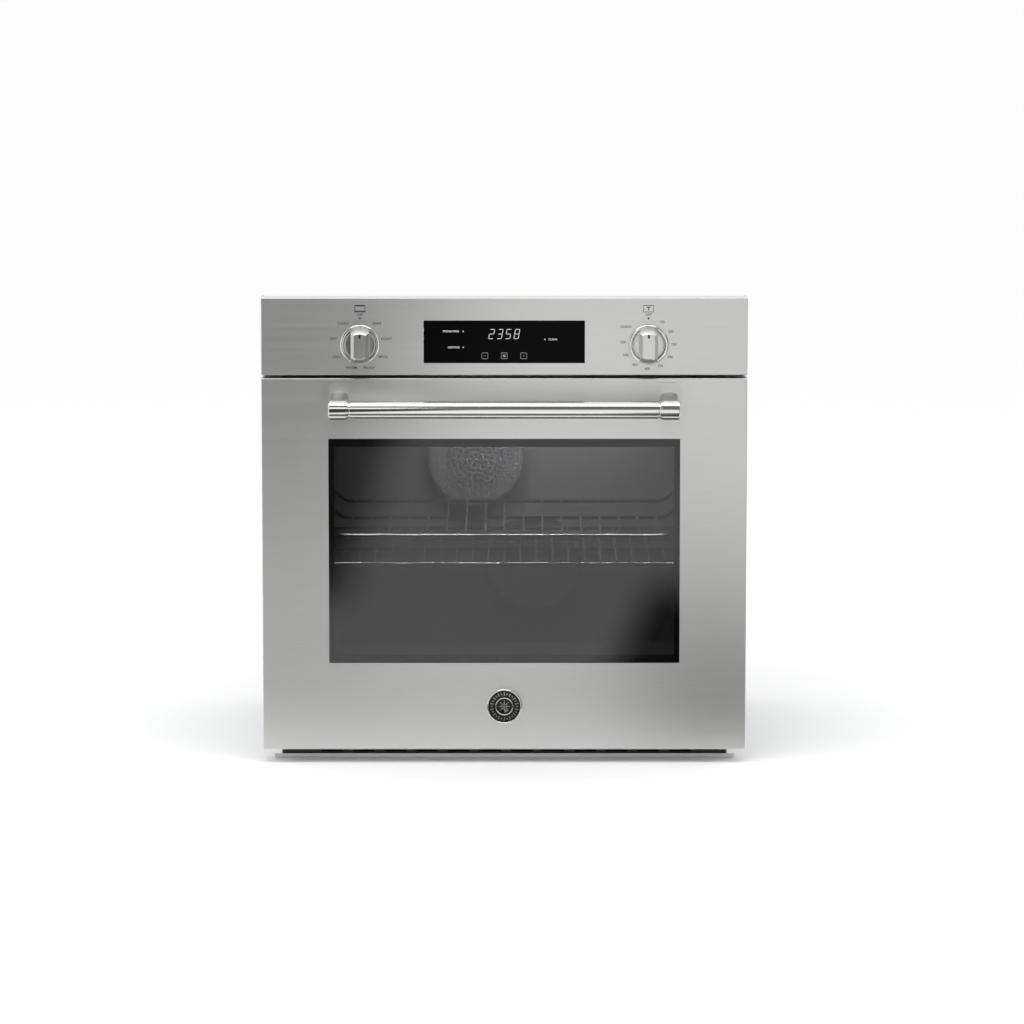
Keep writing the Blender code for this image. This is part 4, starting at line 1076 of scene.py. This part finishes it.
def build_screws():
    """Rows of screws along the edges of the rear and side panels, and down the flanges."""
    rear_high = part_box("rear_panel")[1]
    side_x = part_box("side_panel_right")[1].x
    rear_y, edge_in = rear_high.y, 0.025
    rear = [(x, rear_y, z) for z in (edge_in, rear_high.z - edge_in) for x in (-0.33, -0.11, 0.11, 0.33)]
    rear += [(x, rear_y, z) for x in (-0.335, 0.335) for z in (0.17, 0.32, 0.47)]
    depths = [FACE_Y + depth for depth in (0.09, 0.25, 0.41, 0.55)]
    side_low, side_top = 0.03, 0.645
    right = [(side_x, y, z) for y in depths for z in (side_low, side_top)]
    left = [(-x, y, z) for x, y, z in right]
    trim_y, trim_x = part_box("side_trim_right")[0].y, 0.366
    trims = [(s * trim_x, trim_y, z) for z in (0.08, 0.23, 0.38, 0.53) for s in (-1, 1)]
    for name, degrees, spots in (("rear", 180, rear), ("right", 90, right),
                                 ("left", -90, left), ("flange", 0, trims)):
        head, recess = screw_part(Matrix.Rotation(math.radians(degrees), 4, "Z"))
        place(repeated(f"{name}_screws", head, spots, HINGE), "root", "cast_hinge_steel")
        # The black bars on each head are painted shade for its cross recess.
        place(repeated(f"{name}_screw_recesses", recess, spots, BLACK_AND_SHADE), "root", "black_plastic")
        discard(head, recess)


# Studio


def build_stage():
    """White paper, an even white room, two soft boxes and the cards that shade the steel."""
    bm = bmesh.new()
    bmesh.ops.create_grid(bm, x_segments=1, y_segments=1, size=30.0)
    floor = to_object(bm, "floor", plain_floor())
    world = bpy.data.worlds.new("studio")
    bpy.context.scene.world = world
    world.use_nodes = True
    sky = world.node_tree.nodes["Background"]
    sky.inputs["Color"].default_value = (1.0, 1.0, 1.0, 1.0)
    sky.inputs["Strength"].default_value = 1.06
    softbox("top_softbox", (-0.1, -0.9, 2.4), (0, -0.3, 0.3), (2.4, 1.0), 22)
    softbox("side_softbox", (-0.7, -3.0, 1.8), (0, -0.2, 0.4), (1.0, 1.4), 5)
    flag("left_flag", (-0.106, FACE_Y - 1.0, 0.416), (160, 0), (0.62, 0.85), (0.12, 0.10), 0.97)
    flag("lower_right_flag", (0.075, FACE_Y - 0.8, -0.089), (-26, 0), (1.0, 0.75), (0.10, 0.12), 1.0)
    flag("front_scrim", (0.0, FACE_Y - 3.6, 0.95), (90, 0), (7.0, 9.0), (0.4, 0.3), 0.84)
    flag("floor_flag", (0.0, FACE_Y - 0.85, 0.004), (90, 90), (0.62, 2.6), (0.30, 0.4), 0.85)
    flag("right_floor_flag", (0.12, FACE_Y - 0.45, 0.006), (0, 90), (0.9, 0.8), (0.25, 0.15), 0.80)
    flag("right_flag", (1.25, FACE_Y - 0.95, 0.52), (0, 0), (0.90, 1.2), (0.1, 0.1), 0.95, 90)
    cavity_light()


def cavity_light():
    """The oven's own light: it washes the rear wall behind the racks, and tips their front bars."""
    roof = 0.535
    wash = softbox("lamp_wash", (0.05, FACE_Y + 0.34, roof), (0.04, FACE_Y + 0.52, 0.28), (0.38, 0.05), 15.0)
    wash.visible_glossy = False
    tip = softbox("lamp_tip", (0.0, FACE_Y + 0.058, roof), (0.0, FACE_Y + 0.075, 0.35), (0.56, 0.02), 0.09)
    tip.data.spread = math.radians(40)


def flag(name, edge, turns, size, softness, darkness, heading=0):
    """A black card, seen in gloss only, that fades in from the middle of its near edge and at its two ends.

    Turns are its direction in its own plane, and how far that plane leans from upright. Heading turns it
    about the vertical.
    """
    bm = bmesh.new()
    bmesh.ops.create_grid(bm, x_segments=1, y_segments=1, size=0.5)
    bmesh.ops.scale(bm, vec=(size[0], size[1], 1), verts=bm.verts)
    card = to_object(bm, name, flag_cloth(name, size, softness, darkness))
    in_plane, from_upright = turns
    face = Matrix.Rotation(math.radians(heading), 4, "Z")
    lean = Matrix.Rotation(math.radians(90 - from_upright), 4, "X")
    aim = face @ lean @ Matrix.Rotation(math.radians(in_plane), 4, "Z")
    centre = Vector(edge) + aim @ Vector((size[0] / 2, 0, 0))
    card.matrix_world = Matrix.Translation(centre) @ aim
    for ray in ("camera", "diffuse", "transmission", "volume_scatter", "shadow"):
        setattr(card, f"visible_{ray}", False)


def flag_cloth(name, size, softness, darkness):
    """Black cloth that turns to open net towards one edge and both ends, over the depths of softness."""
    mat = bpy.data.materials.new(f"{name}_cloth")
    mat.use_nodes = True
    tree = mat.node_tree
    tree.nodes.clear()
    place = add_node(tree, "ShaderNodeTexCoord")
    along = add_node(tree, "ShaderNodeSeparateXYZ", links={"Vector": place.outputs["Object"]})
    edge, end = -size[0] / 2, size[1] / 2
    fade = add_node(tree, "ShaderNodeMapRange",
                    {"interpolation_type": "SMOOTHSTEP", "From Min": edge, "From Max": edge + softness[0],
                     "To Max": darkness}, {"Value": along.outputs["X"]})
    across = add_node(tree, "ShaderNodeMath", {"operation": "ABSOLUTE"}, {0: along.outputs["Y"]})
    ends = add_node(tree, "ShaderNodeMapRange",
                    {"interpolation_type": "SMOOTHSTEP", "From Min": end, "From Max": end - softness[1]},
                    {"Value": across.outputs["Value"]})
    both = add_node(tree, "ShaderNodeMath", {"operation": "MULTIPLY"},
                    {0: fade.outputs["Result"], 1: ends.outputs["Result"]})
    net = add_node(tree, "ShaderNodeBsdfTransparent")
    cloth = add_node(tree, "ShaderNodeEmission", {"Strength": 0.02})
    mix = add_node(tree, "ShaderNodeMixShader",
                   links={0: both.outputs[0], 1: net.outputs[0], 2: cloth.outputs[0]})
    add_node(tree, "ShaderNodeOutputMaterial", links={"Surface": mix.outputs[0]})
    return mat


def softbox(name, where, aim, size, power):
    """A rectangular lamp at one place, turned to face another."""
    light = bpy.data.lights.new(name, "AREA")
    light.shape = "RECTANGLE"
    light.size, light.size_y = size
    light.energy = power
    obj = linked(name, light)
    obj.location = where
    obj.rotation_euler = (Vector(aim) - Vector(where)).to_track_quat("-Z", "Y").to_euler()
    return obj


def plain_floor():
    """Matt white studio paper."""
    mat, tree, shader = new_finish("white_paper", Roughness=0.9)
    grain = add_node(tree, "ShaderNodeTexNoise", {"Scale": 1 / (2.0 * MM)}, {"Vector": object_space(tree)})
    tint(tree, shader, grain.outputs["Fac"], "f4f4f4", "f8f8f8")
    return mat


def build_camera():
    """A long lens that looks slightly down on the front, whose width fills a set share of the picture."""
    camera = bpy.data.cameras.new("camera")
    obj = linked("camera", camera)
    bpy.context.scene.camera = obj
    distance, rise, width_share, sensor = 9.0, math.radians(8.5), 0.4734, 36.0
    centre = Vector((0.0121, FACE_Y, 0.3996))
    obj.location = centre + distance * Vector((0, -math.cos(rise), math.sin(rise)))
    obj.rotation_euler = (math.radians(90) - rise, 0, 0)
    camera.sensor_width = sensor
    camera.lens = sensor * width_share * distance / WIDTH
    camera.clip_end = 100.0


def main():
    scene = bpy.context.scene
    scene.view_settings.view_transform = "Standard"
    build_camera()
    build_stage()
    finish_cad_nodes()
    build_fronts()
    build_handle()
    build_knob("function_knob", "knob_bezel_left")
    build_knob("temperature_knob", "knob_bezel_right")
    build_display()
    build_print()
    build_badge()
    build_racks()
    build_round_parts()
    build_fan_cover("upper")
    build_fan_cover("lower")
    build_screws()


main()
